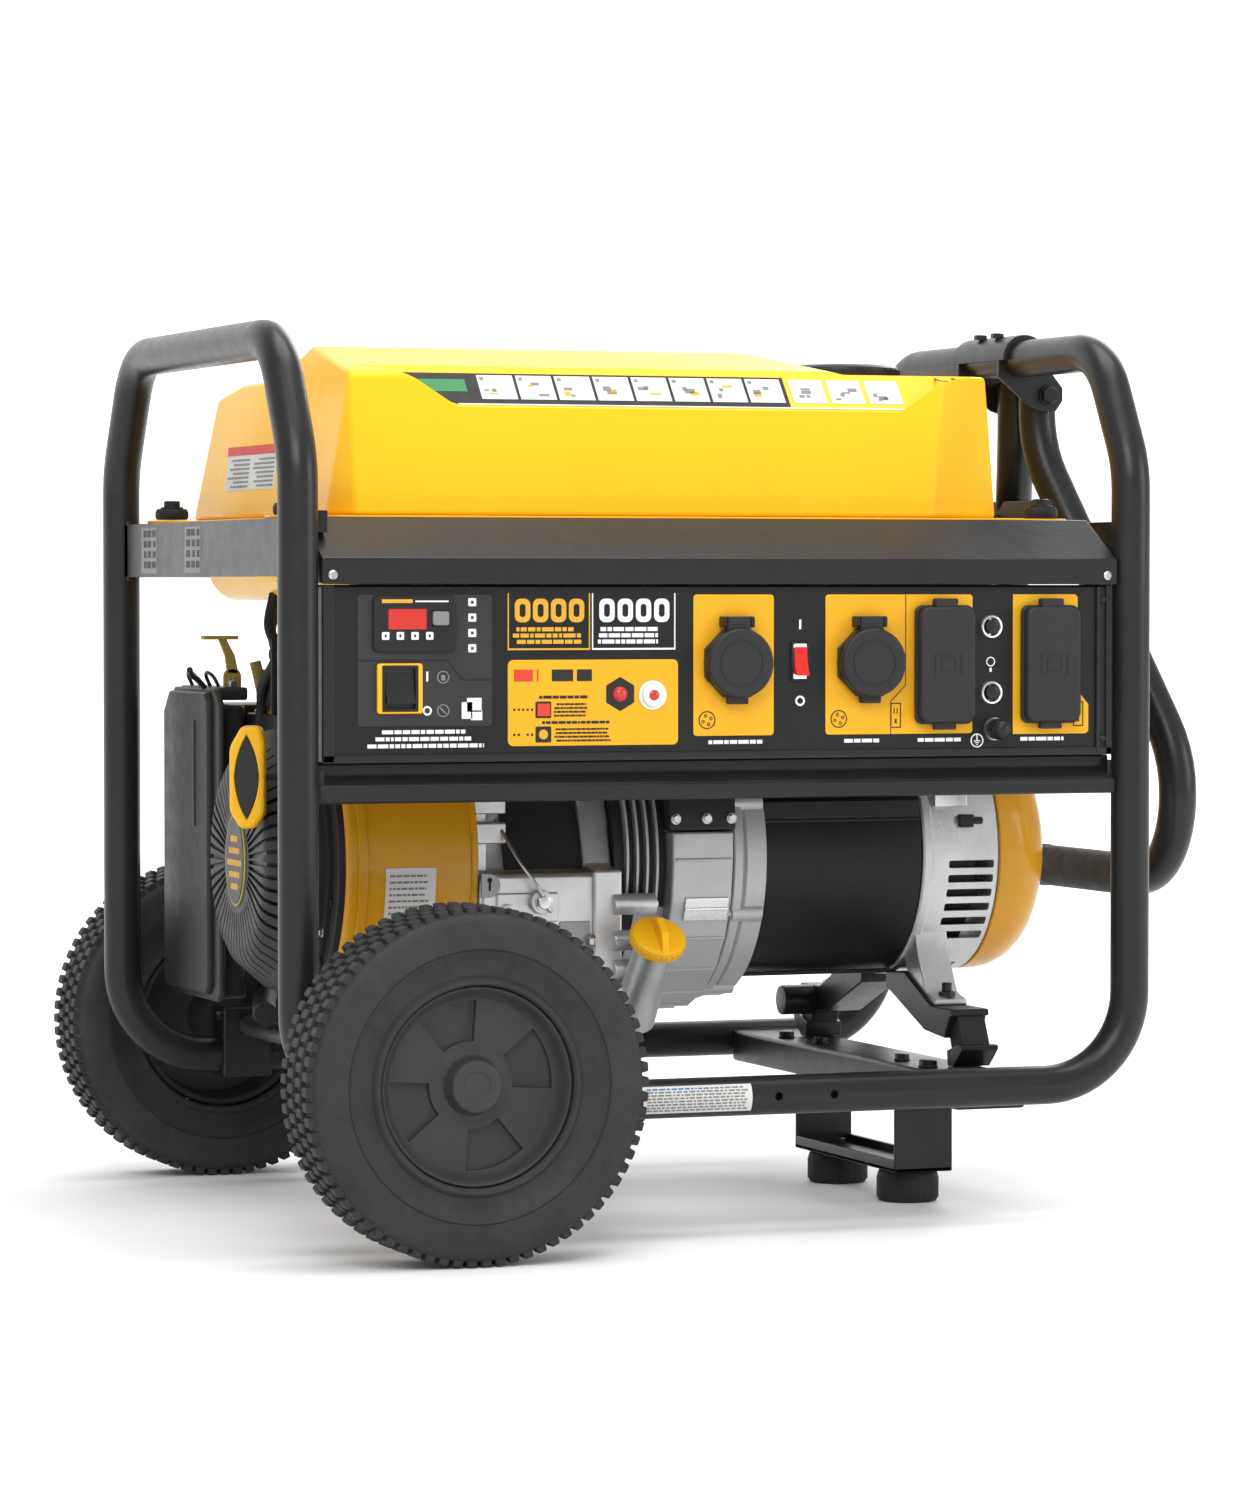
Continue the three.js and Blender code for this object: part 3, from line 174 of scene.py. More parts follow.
surface("wheel_black", (0.036, 0.036, 0.037), 0.5, spread=0.08, grain=1600,
        grain_depth=0.00004)
surface("soft_black", (0.018, 0.018, 0.019), 0.62, spread=0.2, grain=1300,
        grain_depth=0.00008)
surface("device_black", (0.0155, 0.0155, 0.017), 0.36, spread=0.1, grain=1800,
        grain_depth=0.00004)
surface("cover_black", (0.022, 0.022, 0.023), 0.45, spread=0.1, grain=1500,
        grain_depth=0.00005)
surface("wrap_black", (0.011, 0.011, 0.012), 0.46, spread=0.2, patch=18, grain=900,
        grain_depth=0.00006)
surface("cast_alloy", (0.56, 0.565, 0.575), 0.40, metal=0.8, spread=0.14, patch=16,
        grain=620, grain_depth=0.00016, wave=(70, 0.0002))
# A darker copy of cast_alloy for cast parts that sit in shadow: painted shade.
surface("cast_shaded", (0.252, 0.254, 0.259), 0.40, metal=0.8, spread=0.14, patch=16,
        grain=620, grain_depth=0.00016, wave=(70, 0.0002))
surface("cut_alloy", (0.72, 0.72, 0.73), 0.26, metal=0.95, spread=0.06, grain=1200,
        grain_depth=0.00003, stretch=(1, 12, 1))
surface("housing_grey", (0.45, 0.455, 0.465), 0.44, metal=0.45, spread=0.08,
        grain=800, grain_depth=0.0001)
surface("zinc_steel", (0.52, 0.52, 0.53), 0.30, metal=1.0, spread=0.12, grain=900,
        grain_depth=0.00004)
surface("muffler_steel", (0.30, 0.285, 0.27), 0.45, metal=0.9, spread=0.25, patch=9,
        grain=700, grain_depth=0.00008)
surface("black_steel", (0.016, 0.016, 0.017), 0.32, grain=900, grain_depth=0.00005)
surface("signal_red", (0.62, 0.018, 0.012), 0.30, spread=0.05, coat=0.3)
surface("lens_red", (0.52, 0.03, 0.022), 0.22, spread=0.05, coat=0.4)
surface("button_white", (0.80, 0.80, 0.79), 0.34, spread=0.03)
surface("print_white", (0.72, 0.72, 0.71), 0.5, spread=0.05)
surface("label_white", (0.62, 0.62, 0.60), 0.45, spread=0.06)
surface("print_black", (0.02, 0.02, 0.02), 0.5, spread=0.1)
surface("print_grey", (0.20, 0.20, 0.20), 0.5, spread=0.1)
surface("print_red", (0.60, 0.05, 0.03), 0.45, spread=0.05)
surface("print_green", (0.03, 0.22, 0.07), 0.4, spread=0.1)
surface("print_gold", (0.62, 0.33, 0.03), 0.45, spread=0.05)
surface("print_blue", (0.06, 0.16, 0.40), 0.45, spread=0.05)


# ---------------------------------------------------------------- shapes
def axis_matrix(axis):
    """Turns a shape drawn in (u, v) and swept along w so that w lies along the named axis."""
    columns = {"X": ((0, 1, 0), (0, 0, 1), (1, 0, 0)), "Y": ((1, 0, 0), (0, 0, 1), (0, -1, 0)),
               "Z": ((1, 0, 0), (0, 1, 0), (0, 0, 1))}[axis]
    return Matrix(columns).transposed().to_4x4()


def polar(centre, r, degrees):
    """A point at that angle on a circle."""
    a = math.radians(degrees)
    return (centre[0] + r * math.cos(a), centre[1] + r * math.sin(a))


def arc(u, v, r, start, stop, steps=6):
    """Points on an arc, in degrees."""
    return [polar((u, v), r, start + (stop - start) * i / steps) for i in range(steps + 1)]


def rounded(u0, u1, v0, v1, r, steps=5):
    """A rectangle with round corners."""
    return (arc(u1 - r, v0 + r, r, -90, 0, steps) + arc(u1 - r, v1 - r, r, 0, 90, steps)
            + arc(u0 + r, v1 - r, r, 90, 180, steps) + arc(u0 + r, v0 + r, r, 180, 270, steps))


def pad(u, v, half_u, half_v, r, steps=5):
    """The same, given by its middle and half sizes."""
    return rounded(u - half_u, u + half_u, v - half_v, v + half_v, r, steps)


def wall(r0, r1, start, stop):
    """The closed profile of a plain ring."""
    return [(r0, start), (r1, start), (r1, stop), (r0, stop), (r0, start)]


def span(side, a, b):
    """Two places on one side of the middle, lowest first."""
    return sorted((side * a, side * b))


def mirrored(side, outline):
    return [(side * u, v) for u, v in outline]


def at_centre(axis, centre):
    return {"X": (0, *centre), "Y": (centre[0], 0, centre[1]), "Z": (*centre, 0)}[axis]


def about(axis, centre, angle):
    """Turns what is drawn round an axis through the origin, then moves it to its centre."""
    return Matrix.Translation(at_centre(axis, centre)) @ Matrix.Rotation(angle, 4, axis)


def bent_path(corners, radii, step=6.0):
    """Stations (point, direction) along straight runs joined by true arcs."""
    p = [Vector(c) for c in corners]
    stations = [(p[0], (p[1] - p[0]).normalized())]
    for i in range(1, len(p) - 1):
        into = (p[i] - p[i - 1]).normalized()
        out = (p[i + 1] - p[i]).normalized()
        turn = into.angle(out)
        r = radii[i - 1]
        normal = (out - into * out.dot(into)).normalized()
        first = p[i] - into * (r * math.tan(turn / 2))
        centre = first + normal * r
        steps = max(3, round(math.degrees(turn) / step))
        for k in range(steps + 1):
            a = turn * k / steps
            stations.append((centre - normal * (r * math.cos(a)) + into * (r * math.sin(a)),
                             into * math.cos(a) + normal * math.sin(a)))
    stations.append((p[-1], (p[-1] - p[-2]).normalized()))
    return stations


def soft_path(points, steps=10):
    """Stations along a smooth curve through the points."""
    p = [Vector(q) for q in points]
    p = [2 * p[0] - p[1]] + p + [2 * p[-1] - p[-2]]
    out = []
    for i in range(1, len(p) - 2):
        for k in range(steps + (i == len(p) - 3)):
            t = k / steps
            a, b, c, d = p[i - 1], p[i], p[i + 1], p[i + 2]
            at = 0.5 * (2 * b + (c - a) * t + (2 * a - 5 * b + 4 * c - d) * t * t
                        + (3 * b - a - 3 * c + d) * t ** 3)
            way = 0.5 * ((c - a) + 2 * (2 * a - 5 * b + 4 * c - d) * t
                         + 3 * (3 * b - a - 3 * c + d) * t * t)
            out.append((at, way.normalized()))
    return out


class Build:
    """Closed shapes, given in millimetres, gathered into one mesh."""

    def __init__(self):
        self.bm = bmesh.new()

    def take(self, bm, bevel=0.0, segments=2, angle=25.0, matrix=None):
        """Adds one shape, with its sharp edges rounded."""
        bmesh.ops.remove_doubles(bm, verts=bm.verts, dist=1e-4)
        bmesh.ops.recalc_face_normals(bm, faces=bm.faces)
        if bevel > 0:
            limit = math.radians(angle)
            edges = [e for e in bm.edges if e.is_manifold and e.calc_face_angle(0) > limit]
            bmesh.ops.bevel(bm, geom=edges, offset=bevel, segments=segments, profile=0.5,
                            affect="EDGES", clamp_overlap=True)
        if matrix is not None:
            bm.transform(matrix)
        return self.gather(bm)

    def gather(self, bm):
        """Adds a whole mesh to this one and frees it."""
        mesh = bpy.data.meshes.new("part")
        bm.to_mesh(mesh)
        self.bm.from_mesh(mesh)
        bpy.data.meshes.remove(mesh)
        bm.free()
        return self

    def box(self, x0, x1, y0, y1, z0, z1, bevel=0.6, segments=2, matrix=None):
        bm = bmesh.new()
        bmesh.ops.create_cube(bm, size=1)
        bm.transform(Matrix.Translation(((x0 + x1) / 2, (y0 + y1) / 2, (z0 + z1) / 2))
                     @ Matrix.Diagonal((x1 - x0, y1 - y0, z1 - z0, 1)))
        return self.take(bm, bevel, segments, matrix=matrix)

    def prism(self, axis, outline, start, stop, bevel=0.6, segments=2, angle=25.0, matrix=None):
        """An outline swept along an axis: (y, z) along X, (x, z) along Y, (x, y) along Z."""
        bm = bmesh.new()
        if axis == "Y":
            start, stop = -stop, -start
        low = [bm.verts.new((u, v, start)) for u, v in outline]
        high = [bm.verts.new((u, v, stop)) for u, v in outline]
        bm.faces.new(low)
        bm.faces.new(high)
        for i in range(len(outline)):
            j = (i + 1) % len(outline)
            bm.faces.new((low[i], low[j], high[j], high[i]))
        bm.transform(axis_matrix(axis))
        return self.take(bm, bevel, segments, angle, matrix)

    def turned(self, axis, centre, profile, sides=64, matrix=None, bevel=0.0, segments=2):
        """A turned piece; the profile is [radius, station] and runs from axis to axis or closes."""
        bm = bmesh.new()
        loop = profile[0] == profile[-1]
        points = profile[:-1] if loop else profile
        rings = []
        for r, s in points:
            if r < 1e-6:
                rings.append([bm.verts.new((0, 0, s))])
                continue
            ring = []
            for k in range(sides):
                a = 2 * math.pi * (k + 0.5) / sides
                ring.append(bm.verts.new((r * math.cos(a), r * math.sin(a), s)))
            rings.append(ring)
        pairs = list(zip(rings, rings[1:])) + ([(rings[-1], rings[0])] if loop else [])
        for a, b in pairs:
            if len(a) == len(b) == 1:
                continue
            for k in range(sides):
                j = (k + 1) % sides
                if len(a) == 1:
                    bm.faces.new((a[0], b[k], b[j]))
                elif len(b) == 1:
                    bm.faces.new((a[k], b[0], a[j]))
                else:
                    bm.faces.new((a[k], b[k], b[j], a[j]))
        turn = {"X": Matrix(((0, 0, 1), (1, 0, 0), (0, 1, 0))),
                "Y": Matrix(((1, 0, 0), (0, 0, 1), (0, -1, 0))),
                "Z": Matrix.Identity(3)}[axis].to_4x4()
        bm.transform(Matrix.Translation(at_centre(axis, centre)) @ turn)
        return self.take(bm, bevel, segments, matrix=matrix)

    def rod(self, axis, centre, r, start, stop, sides=32, bevel=0.5, matrix=None):
        b = min(bevel, r * 0.4, abs(stop - start) * 0.4)
        s, e = min(start, stop), max(start, stop)
        profile = [(0, s), (r - b, s), (r - 0.3 * b, s + 0.3 * b), (r, s + b), (r, e - b),
                   (r - 0.3 * b, e - 0.3 * b), (r - b, e), (0, e)]
        return self.turned(axis, centre, profile, sides, matrix)

    def sweep(self, stations, r, sides=28, flat=1.0):
        """A round rod along stations, its ends closed."""
        bm = bmesh.new()
        up = Vector((0, 0, 1))
        if abs(stations[0][1].dot(up)) > 0.9:
            up = Vector((0, 1, 0))
        rings = []
        for at, way in stations:
            side = way.cross(up).normalized()
            up = side.cross(way).normalized()
            ring = []
            for k in range(sides):
                a = 2 * math.pi * k / sides
                ring.append(bm.verts.new(at + side * (r * math.cos(a)) + up * (r * flat * math.sin(a))))
            rings.append(ring)
        for a, b in zip(rings, rings[1:]):
            for k in range(sides):
                j = (k + 1) % sides
                bm.faces.new((a[k], a[j], b[j], b[k]))
        bm.faces.new(rings[0])
        bm.faces.new(rings[-1])
        return self.take(bm)

    def bolt(self, axis, centre, at, size=5.0, out=1, washer=True, matrix=None):
        """A hexagon head with its washer, standing on the surface at that station."""
        if washer:
            self.rod(axis, centre, size * 1.15, at, at + out * 1.2, 24, 0.3, matrix)
        w = out * 1.2 if washer else 0
        s, e = sorted((at + w, at + w + out * size * 0.75))
        top, low = (0.9, 1.0) if out > 0 else (1.0, 0.9)
        self.turned(axis, centre, [(0, s), (size * (low - 0.08 * (out < 0)), s), (size, s + 0.5),
                                   (size, e - 0.5), (size * (top - 0.08 * (out > 0)), e), (0, e)],
                    6, matrix)
        return self

    def screw(self, axis, centre, at, size=3.5, out=1, matrix=None):
        """A low domed head."""
        s, e = sorted((at, at + out * size * 0.5))
        if out > 0:
            profile = [(0, s), (size, s), (size * 0.95, s + (e - s) * 0.5), (size * 0.6, e), (0, e)]
        else:
            profile = [(0, s), (size * 0.6, s), (size * 0.95, s + (e - s) * 0.5), (size, e), (0, e)]
        return self.turned(axis, centre, profile, 20, matrix)

    def carve(self, *tools):
        """Takes other builds out of this one."""
        base = self.temporary("base")
        cutters = [tool.temporary("tool") for tool in tools]
        for tool in cutters:
            cut = base.modifiers.new("cut", "BOOLEAN")
            cut.operation = "DIFFERENCE"
            cut.solver = "EXACT"
            cut.object = tool
        bpy.context.view_layer.update()
        graph = bpy.context.evaluated_depsgraph_get()
        mesh = bpy.data.meshes.new_from_object(base.evaluated_get(graph))
        self.bm = bmesh.new()
        self.bm.from_mesh(mesh)
        for o in [base, *cutters]:
            bpy.data.objects.remove(o)
        return self

    def temporary(self, name):
        mesh = bpy.data.meshes.new(name)
        self.bm.to_mesh(mesh)
        self.bm.free()
        o = bpy.data.objects.new(name, mesh)
        bpy.context.scene.collection.objects.link(o)
        return o

    def round_edges(self, width, segments=3, angle=20.0, keep=None):
        """Rounds the sharp edges of what is built so far; keep(edge) may leave some out."""
        bmesh.ops.dissolve_limit(self.bm, angle_limit=math.radians(0.8), verts=self.bm.verts,
                                 edges=self.bm.edges)
        limit = math.radians(angle)
        edges = [e for e in self.bm.edges if e.is_manifold and e.calc_face_angle(0) > limit
                 and (keep is None or keep(e))]
        bmesh.ops.bevel(self.bm, geom=edges, offset=width, segments=segments, profile=0.5,
                        affect="EDGES", clamp_overlap=True)
        return self

    def piece(self, name, material, body="chassis", replaces=(), smooth=32.0, weighted=True):
        """Makes the object: in metres, riding on its body, with its finish."""
        self.bm.transform(Matrix.Translation(ORIGIN) @ Matrix.Scale(MM, 4))
        mesh = bpy.data.meshes.new(name)
        self.bm.to_mesh(mesh)
        self.bm.free()
        for polygon in mesh.polygons:
            polygon.use_smooth = True
        mesh.set_sharp_from_angle(angle=math.radians(smooth))
        mesh.materials.append(MATERIALS[material])
        o = bpy.data.objects.new(name, mesh)
        bpy.context.scene.collection.objects.link(o)
        if weighted:
            normals = o.modifiers.new("normals", "WEIGHTED_NORMAL")
            normals.keep_sharp = True
        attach(o, body)
        if replaces:
            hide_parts(*replaces)
        return o


# ---------------------------------------------------------------- camera, floor and light
def floor_paint():
    """Pale paint that glows more the further out it lies, so that the distance is white."""
    look = Nodes("floor_white")
    tone = look.mix(look.remap(look.noise(3.0), 0, 1), (0.87, 0.87, 0.87), (0.89, 0.89, 0.89))
    look.link(tone, look.shader.inputs["Base Color"])
    look.shader.inputs["Roughness"].default_value = 0.6
    look.shader.inputs["Emission Color"].default_value = (1, 1, 1, 1)
    far = look.tree.nodes.new("ShaderNodeVectorMath")
    far.operation = "LENGTH"
    look.link(look.tree.nodes.new("ShaderNodeNewGeometry").outputs["Position"], far.inputs[0])
    glow = look.remap(far.outputs["Value"], 0.0, 0.75, 0.8, 3.2)
    look.link(glow, look.shader.inputs["Emission Strength"])
    return look.material


def backdrop():
    """A pale floor that curves up into a wall far behind."""
    side = [(-9, 0)] + [(9 + 4 * math.sin(math.radians(a)), 4 - 4 * math.cos(math.radians(a)))
                        for a in range(0, 91, 9)] + [(13, 14)]
    mesh = bpy.data.meshes.new("floor")
    points = [(x, y, z) for x in (-18, 18) for y, z in side]
    n = len(side)
    mesh.from_pydata(points, [], [(k, k + 1, n + k + 1, n + k) for k in range(n - 1)])
    for polygon in mesh.polygons:
        polygon.use_smooth = True
    mesh.materials.append(floor_paint())
    floor = bpy.data.objects.new("floor", mesh)
    bpy.context.scene.collection.objects.link(floor)


def camera():
    lens = bpy.data.cameras.new("camera")
    lens.lens = 128.1
    lens.sensor_width = 36
    lens.clip_end = 50
    eye = bpy.data.objects.new("camera", lens)
    eye.location = ORIGIN + Vector((-1433.7, -3860.6, 474.5)) * MM
    eye.rotation_euler = (math.radians(90 - 1.736), 0, math.radians(-20.495))
    bpy.context.scene.collection.objects.link(eye)
    bpy.context.scene.camera = eye


def soft_box(name, place, target, size, power):
    lamp = bpy.data.lights.new(name, "AREA")
    lamp.shape = "SQUARE"
    lamp.size = size
    lamp.energy = power
    o = bpy.data.objects.new(name, lamp)
    o.location = place
    o.rotation_euler = (Vector(target) - Vector(place)).to_track_quat("-Z", "Y").to_euler()
    bpy.context.scene.collection.objects.link(o)


def studio():
    world = bpy.data.worlds.new("studio")
    world.use_nodes = True
    back = world.node_tree.nodes["Background"]
    back.inputs["Color"].default_value = (1, 1, 1, 1)
    back.inputs["Strength"].default_value = 0.62
    bpy.context.scene.world = world
    soft_box("key", (-1.4, -2.9, 2.7), (0.0, 0.0, 0.4), 2.0, 78)
    soft_box("fill", (3.0, -2.2, 1.3), (0.1, 0.0, 0.35), 1.6, 34)
    soft_box("top", (0.2, -0.2, 3.3), (0.0, 0.0, 0.3), 2.2, 70)
    soft_box("rear", (2.4, 2.8, 2.4), (0.0, 0.0, 0.4), 1.8, 36)
    bpy.context.scene.view_settings.view_transform = "Standard"


# ---------------------------------------------------------------- frame
def hoop(side):
    x = side * POST_X
    shoulder = TOP_Z - 88
    crown = POST_Y - 51
    end = -120 if side < 0 else -119.7
    corners = [(end, -POST_Y, RAIL_Z), (x, -POST_Y, RAIL_Z), (x, -POST_Y, shoulder),
               (x, -crown, TOP_Z), (x, crown, TOP_Z), (x, POST_Y, shoulder),
               (x, POST_Y, RAIL_Z), (end, POST_Y, RAIL_Z)]
    return bent_path(corners, [69, 70, 60, 60, 70, 69])


def frame_tubes():
    left = Build().sweep(hoop(-1), TUBE_R, 40)
    left.piece("left_hoop_tube", "powder_coat", replaces=["left_hoop"], weighted=False)
    right = Build().sweep(hoop(1), TUBE_R, 40)
    holes = Build()
    for x in (36, 80):
        holes.rod("Y", (x, RAIL_Z), 3.2, -POST_Y - 20, -POST_Y - 6, 20, 0)
    right.carve(holes)
    right.piece("right_hoop_tube", "powder_coat", replaces=["right_hoop"], weighted=False)
    # the rails' sleeve joints
    joints = Build()
    for side in SIDES:
        y = side * POST_Y
        joints.turned("X", (y, RAIL_Z), [(TUBE_R - 1, -132), (TUBE_R + 0.7, -130), (TUBE_R + 0.7, -110),
                                         (TUBE_R - 1, -108), (TUBE_R - 1, -132)], 36)
    joints.piece("rail_joint_sleeves", "powder_coat")


def member(x, name, node, saddle_sides=()):
    """A box section across the rails, with weld beads at its ends and any engine saddles."""
    half = 29
    end = POST_Y - TUBE_R - 0.3
    build = Build()
    build.prism("Y", rounded(x - half, x + half, MEMBER_TOP - MEMBER_H, MEMBER_TOP, 3.5), -end, end, 0)
    for side in SIDES:
        bead = [(x - half, side * (end - 1.5), MEMBER_TOP - 2), (x, side * (end - 2), MEMBER_TOP - 1),
                (x + half, side * (end - 1.5), MEMBER_TOP - 2)]
        build.sweep(soft_path(bead, 8), 2.4, 10)
    for side in saddle_sides:
        saddle(build, x, side * 72)
    build.piece(name, "powder_coat", replaces=[node])


def saddle(build, x, y):
    """A folded channel that the crankcase stands on."""
    top = 163.7
    for y0 in (y - 20, y + 17):
        build.box(x - 29, x + 29, y0, y0 + 3, MEMBER_TOP - 1, top, 0.8)
    build.box(x - 29, x + 29, y - 20, y + 20, top - 3, top, 0.8)


def foot_strap():
    x0, x1 = 194, 242
    out = 101.5
    top = MEMBER_TOP - MEMBER_H - 0.3
    build = Build()
    for side in SIDES:
        build.box(x0, x1, *span(side, out, out - 4), 25, top, 1.2)
        build.box(x0, x1, *span(side, out - 4, out - 26), top - 3.5, top, 1)
    build.box(x0, x1, -out, out, 25, 29, 1.2)
    for lip in (x0, x1 - 4):
        build.box(lip, lip + 4, -out + 0.5, out - 0.5, 25.2, 35, 1)
    build.piece("foot_strap", "powder_coat", replaces=["foot_bracket"])
    nuts = Build()
    for side in SIDES:
        nuts.bolt("Z", (FOOT_X, side * FOOT_Y), 29, 6.5)
        nuts.bolt("Z", (FOOT_X - 10, side * 82), MEMBER_TOP, 5.5)
        nuts.bolt("Z", (203, side * 141), MEMBER_TOP, 6)
    nuts.piece("foot_bolts", "black_steel")


def rubber_foot(name, node, side):
    """A domed foot with a ribbed wall."""
    at = (FOOT_X, side * FOOT_Y)
    build = Build().turned("Z", at, [
        (0, 0.8), (8, 0.8), (9, 0), (20, 0), (22, 0.6), (23.2, 2), (23.8, 5), (24, 9), (23.9, 17),
        (23.4, 21), (22.4, 23.6), (21, 24.6), (0, 24.6)], 64)
    for k in range(24):
        turn = about("Z", at, k * math.pi / 12)
        build.box(23.2, 24.15, -0.9, 0.9, 3, 19, 0.3, 1, matrix=turn)
    build.piece(name, "soft_black", replaces=[node])


BAND_LOW, BAND_TOP = 483, 524.8


def end_band(side, name):
    """A flat band between two posts, with a lip that carries the tank and a welded end lug."""
    end = POST_Y - TUBE_R - 0.3
    out = side * (POST_X + 1.5)
    inn = side * (POST_X - 1.5)
    lip = side * (POST_X - 30)
    build = Build()
    outline = [(out, BAND_LOW), (out, BAND_TOP), (inn, BAND_TOP), (inn, BAND_LOW)]
    build.prism("Y", outline, -end, end, 0.9)
    build.prism("Y", [(inn, 521.9), (inn, 524.9), (lip, 524.9), (lip, 521.9)], -162, end, 0.8)
    for y in (-end + 5, end - 5):
        build.box(min(out, inn), max(out, inn), y - 5, y + 5, 480, 527, 0.9)
    build.piece(name + "_plate", "powder_coat", replaces=[name])


def rear_band():
    reach = POST_X - 15
    y = POST_Y
    rear = Build()
    rear.prism("X", [(y - 1.5, BAND_LOW), (y + 1.5, BAND_LOW), (y + 1.5, BAND_TOP), (y - 1.5, BAND_TOP)],
               -reach, reach, 0.9)
    rear.prism("X", [(y - 10, 521.9), (y - 1.4, 521.9), (y - 1.4, BAND_TOP), (y - 10, BAND_TOP)],
               -reach, reach, 0.8)
    rear.piece("rear_bar_plate", "powder_coat", replaces=["rear_cross_bar"])


def band_labels():
    labels = Build()
    marks = Build()
    x = -POST_X - 1.5
    for y in (150, 27):
        labels.box(x - 0.25, x + 0.1, y - 22, y + 22, 486, 521, 0)
        rng = random.Random(int(y))
        for row in range(4):
            z = 490 + row * 8
            for k in range(3):
                y0 = y - 19 + k * 13
                marks.box(x - 0.45, x - 0.2, y0, y0 + rng.uniform(6, 11), z, z + 5.2, 0)
    labels.piece("band_label_plates", "print_grey")
    marks.piece("band_label_marks", "print_black")


TANK_LUGS = [(side * 300, y) for side in (-1, 1) for y in (-135, 184)]


def tank_bolts():
    rubber = Build()
    steel = Build()
    washer = [(0, 528), (12, 528), (13, 530), (13, 534), (11.5, 536.5), (0, 536.5)]
    for at in TANK_LUGS:
        rubber.turned("Z", at, washer, 40)
        steel.rod("Z", at, 9, 536.5, 538, 32, 0.4)
        steel.bolt("Z", at, 538, 6.5, washer=False)
    rubber.piece("tank_mount_rubbers", "soft_black")
    steel.piece("tank_mount_bolts", "black_steel")


# ---------------------------------------------------------------- wheels
WHEEL_R = 126.5
AXLE_X = -228.0
WHEEL_Y = 316.7
LUGS = 74


def tyre(build):
    side = [(71, 24), (71.2, 28.6), (72.6, 30.4), (75, 30.6), (76.6, 29.4), (78, 27.4), (82, 27.0),
            (87, 28.6), (92, 31.6), (95.4, 34.0), (96.2, 33.4), (97.2, 34.6), (106, 35.0), (114, 34.8),
            (118.6, 33.6), (121.2, 31.4), (122.4, 28), (122.8, 12)]
    build.turned("Y", (0, 0), [(r, -t) for r, t in side] + [(r, t) for r, t in reversed(side)]
                 + [(71, -24)], 120)
    for k in range(LUGS):
        for row, y0, y1 in ((0, -31, -19.5), (1, -15, -2.5), (2, 2.5, 15), (3, 19.5, 31)):
            turn = Matrix.Rotation(2 * math.pi * (k + 0.5 * (row % 2)) / LUGS, 4, "Y")
            low = 121 if row in (1, 2) else 120
            build.prism("Y", [(-4.1, low), (4.1, low), (3.3, 126.4), (-3.3, 126.4)], y0, y1, 0.8, 1,
                        matrix=turn)


def rim(build):
    """Dished rim; +Y is outwards. Pockets are carved out of the dish."""
    build.turned("Y", (0, 0), [
        (0, 25.4), (9.6, 25.4), (10.6, 26.6), (15.5, 27), (18, 26.2), (19, 24), (20, 16), (21.5, 13.6),
        (25.5, 13.2), (27, 12.2), (30, 12.0), (57, 12.2), (61, 12.8), (64, 15.5), (66, 20),
        (67.6, 25.4), (69, 27), (70.4, 26.2), (70.5, 24), (70.5, -23), (68, -26), (65, -24), (61, 5),
        (30, 5), (22, 5), (19, -32), (8.4, -32), (8.4, 21), (0, 21)], 96)
    cutter = Build()
    for k in range(4):
        mid = 90 * k - 18
        out = arc(0, 0, 60, mid - 22, mid + 22, 10) + arc(0, 0, 31, mid + 22, mid - 22, 6)
        cutter.prism("Y", out, 7, 16, 0)
    build.carve(cutter)
    build.round_edges(0.6, 2, 40)


def wheel(name, side):
    place = Matrix.Translation((AXLE_X, side * WHEEL_Y, WHEEL_R)) @ Matrix.Rotation(
        math.pi if side < 0 else 0, 4, "Z")
    tyre_build = Build()
    tyre(tyre_build)
    tyre_build.bm.transform(place)
    tyre_build.piece(f"{name}_tyre_treaded", "tyre_tread", f"{name}_wheel",
                     replaces=[f"{name}_tyre"], weighted=False)
    rim_build = Build()
    rim(rim_build)
    rim_build.bm.transform(place)
    rim_build.piece(f"{name}_rim_moulded", "wheel_black", f"{name}_wheel",
                    replaces=[f"{name}_rim"], weighted=False)


def axle():
    build = Build()
    build.rod("Y", (AXLE_X, WHEEL_R), 8, -334.7, 334.7, 40, 1.2)
    for side in SIDES:
        build.turned("Y", (AXLE_X, WHEEL_R), wall(8, 13, side * 258, side * 260.5), 36)
    build.piece("axle_rod", "zinc_steel", replaces=["axle"])


def axle_clamp(name, side):
    """A block on the rail, bored for the rail and the axle."""
    y = side * POST_Y
    x0, x1 = -248, -208
    block = Build()
    block.box(x0, x1, y - 17, y + 17, 85.2, 140.5, 2.0, 3)
    bore = Build()
    bore.rod("X", (y, RAIL_Z), TUBE_R + 0.3, -260, -190, 40, 0)
    bore.rod("Y", (AXLE_X, WHEEL_R), 8.4, y - 30, y + 30, 32, 0)
    block.carve(bore)
    for x, out in ((x1, 1), (x0, -1)):
        block.bolt("X", (y - side * 10, 133), x, 4.5, out)
    block.piece(f"{name}_axle_clamp", "powder_coat", replaces=[f"{name}_axle_bracket"])


# ---------------------------------------------------------------- tank
TANK_HALF = 271.5
FILLER_NECK = (205, 34)
STRIP_DY, STRIP_DZ = 22, 26
STRIP_LENGTH = math.hypot(STRIP_DZ, STRIP_DY)
STRIP_LEAN = Matrix.Rotation(math.atan2(STRIP_DZ, STRIP_DY), 4, "X")
STRIP_PLACE = Matrix.Translation((0, -149.5, 608)) @ STRIP_LEAN


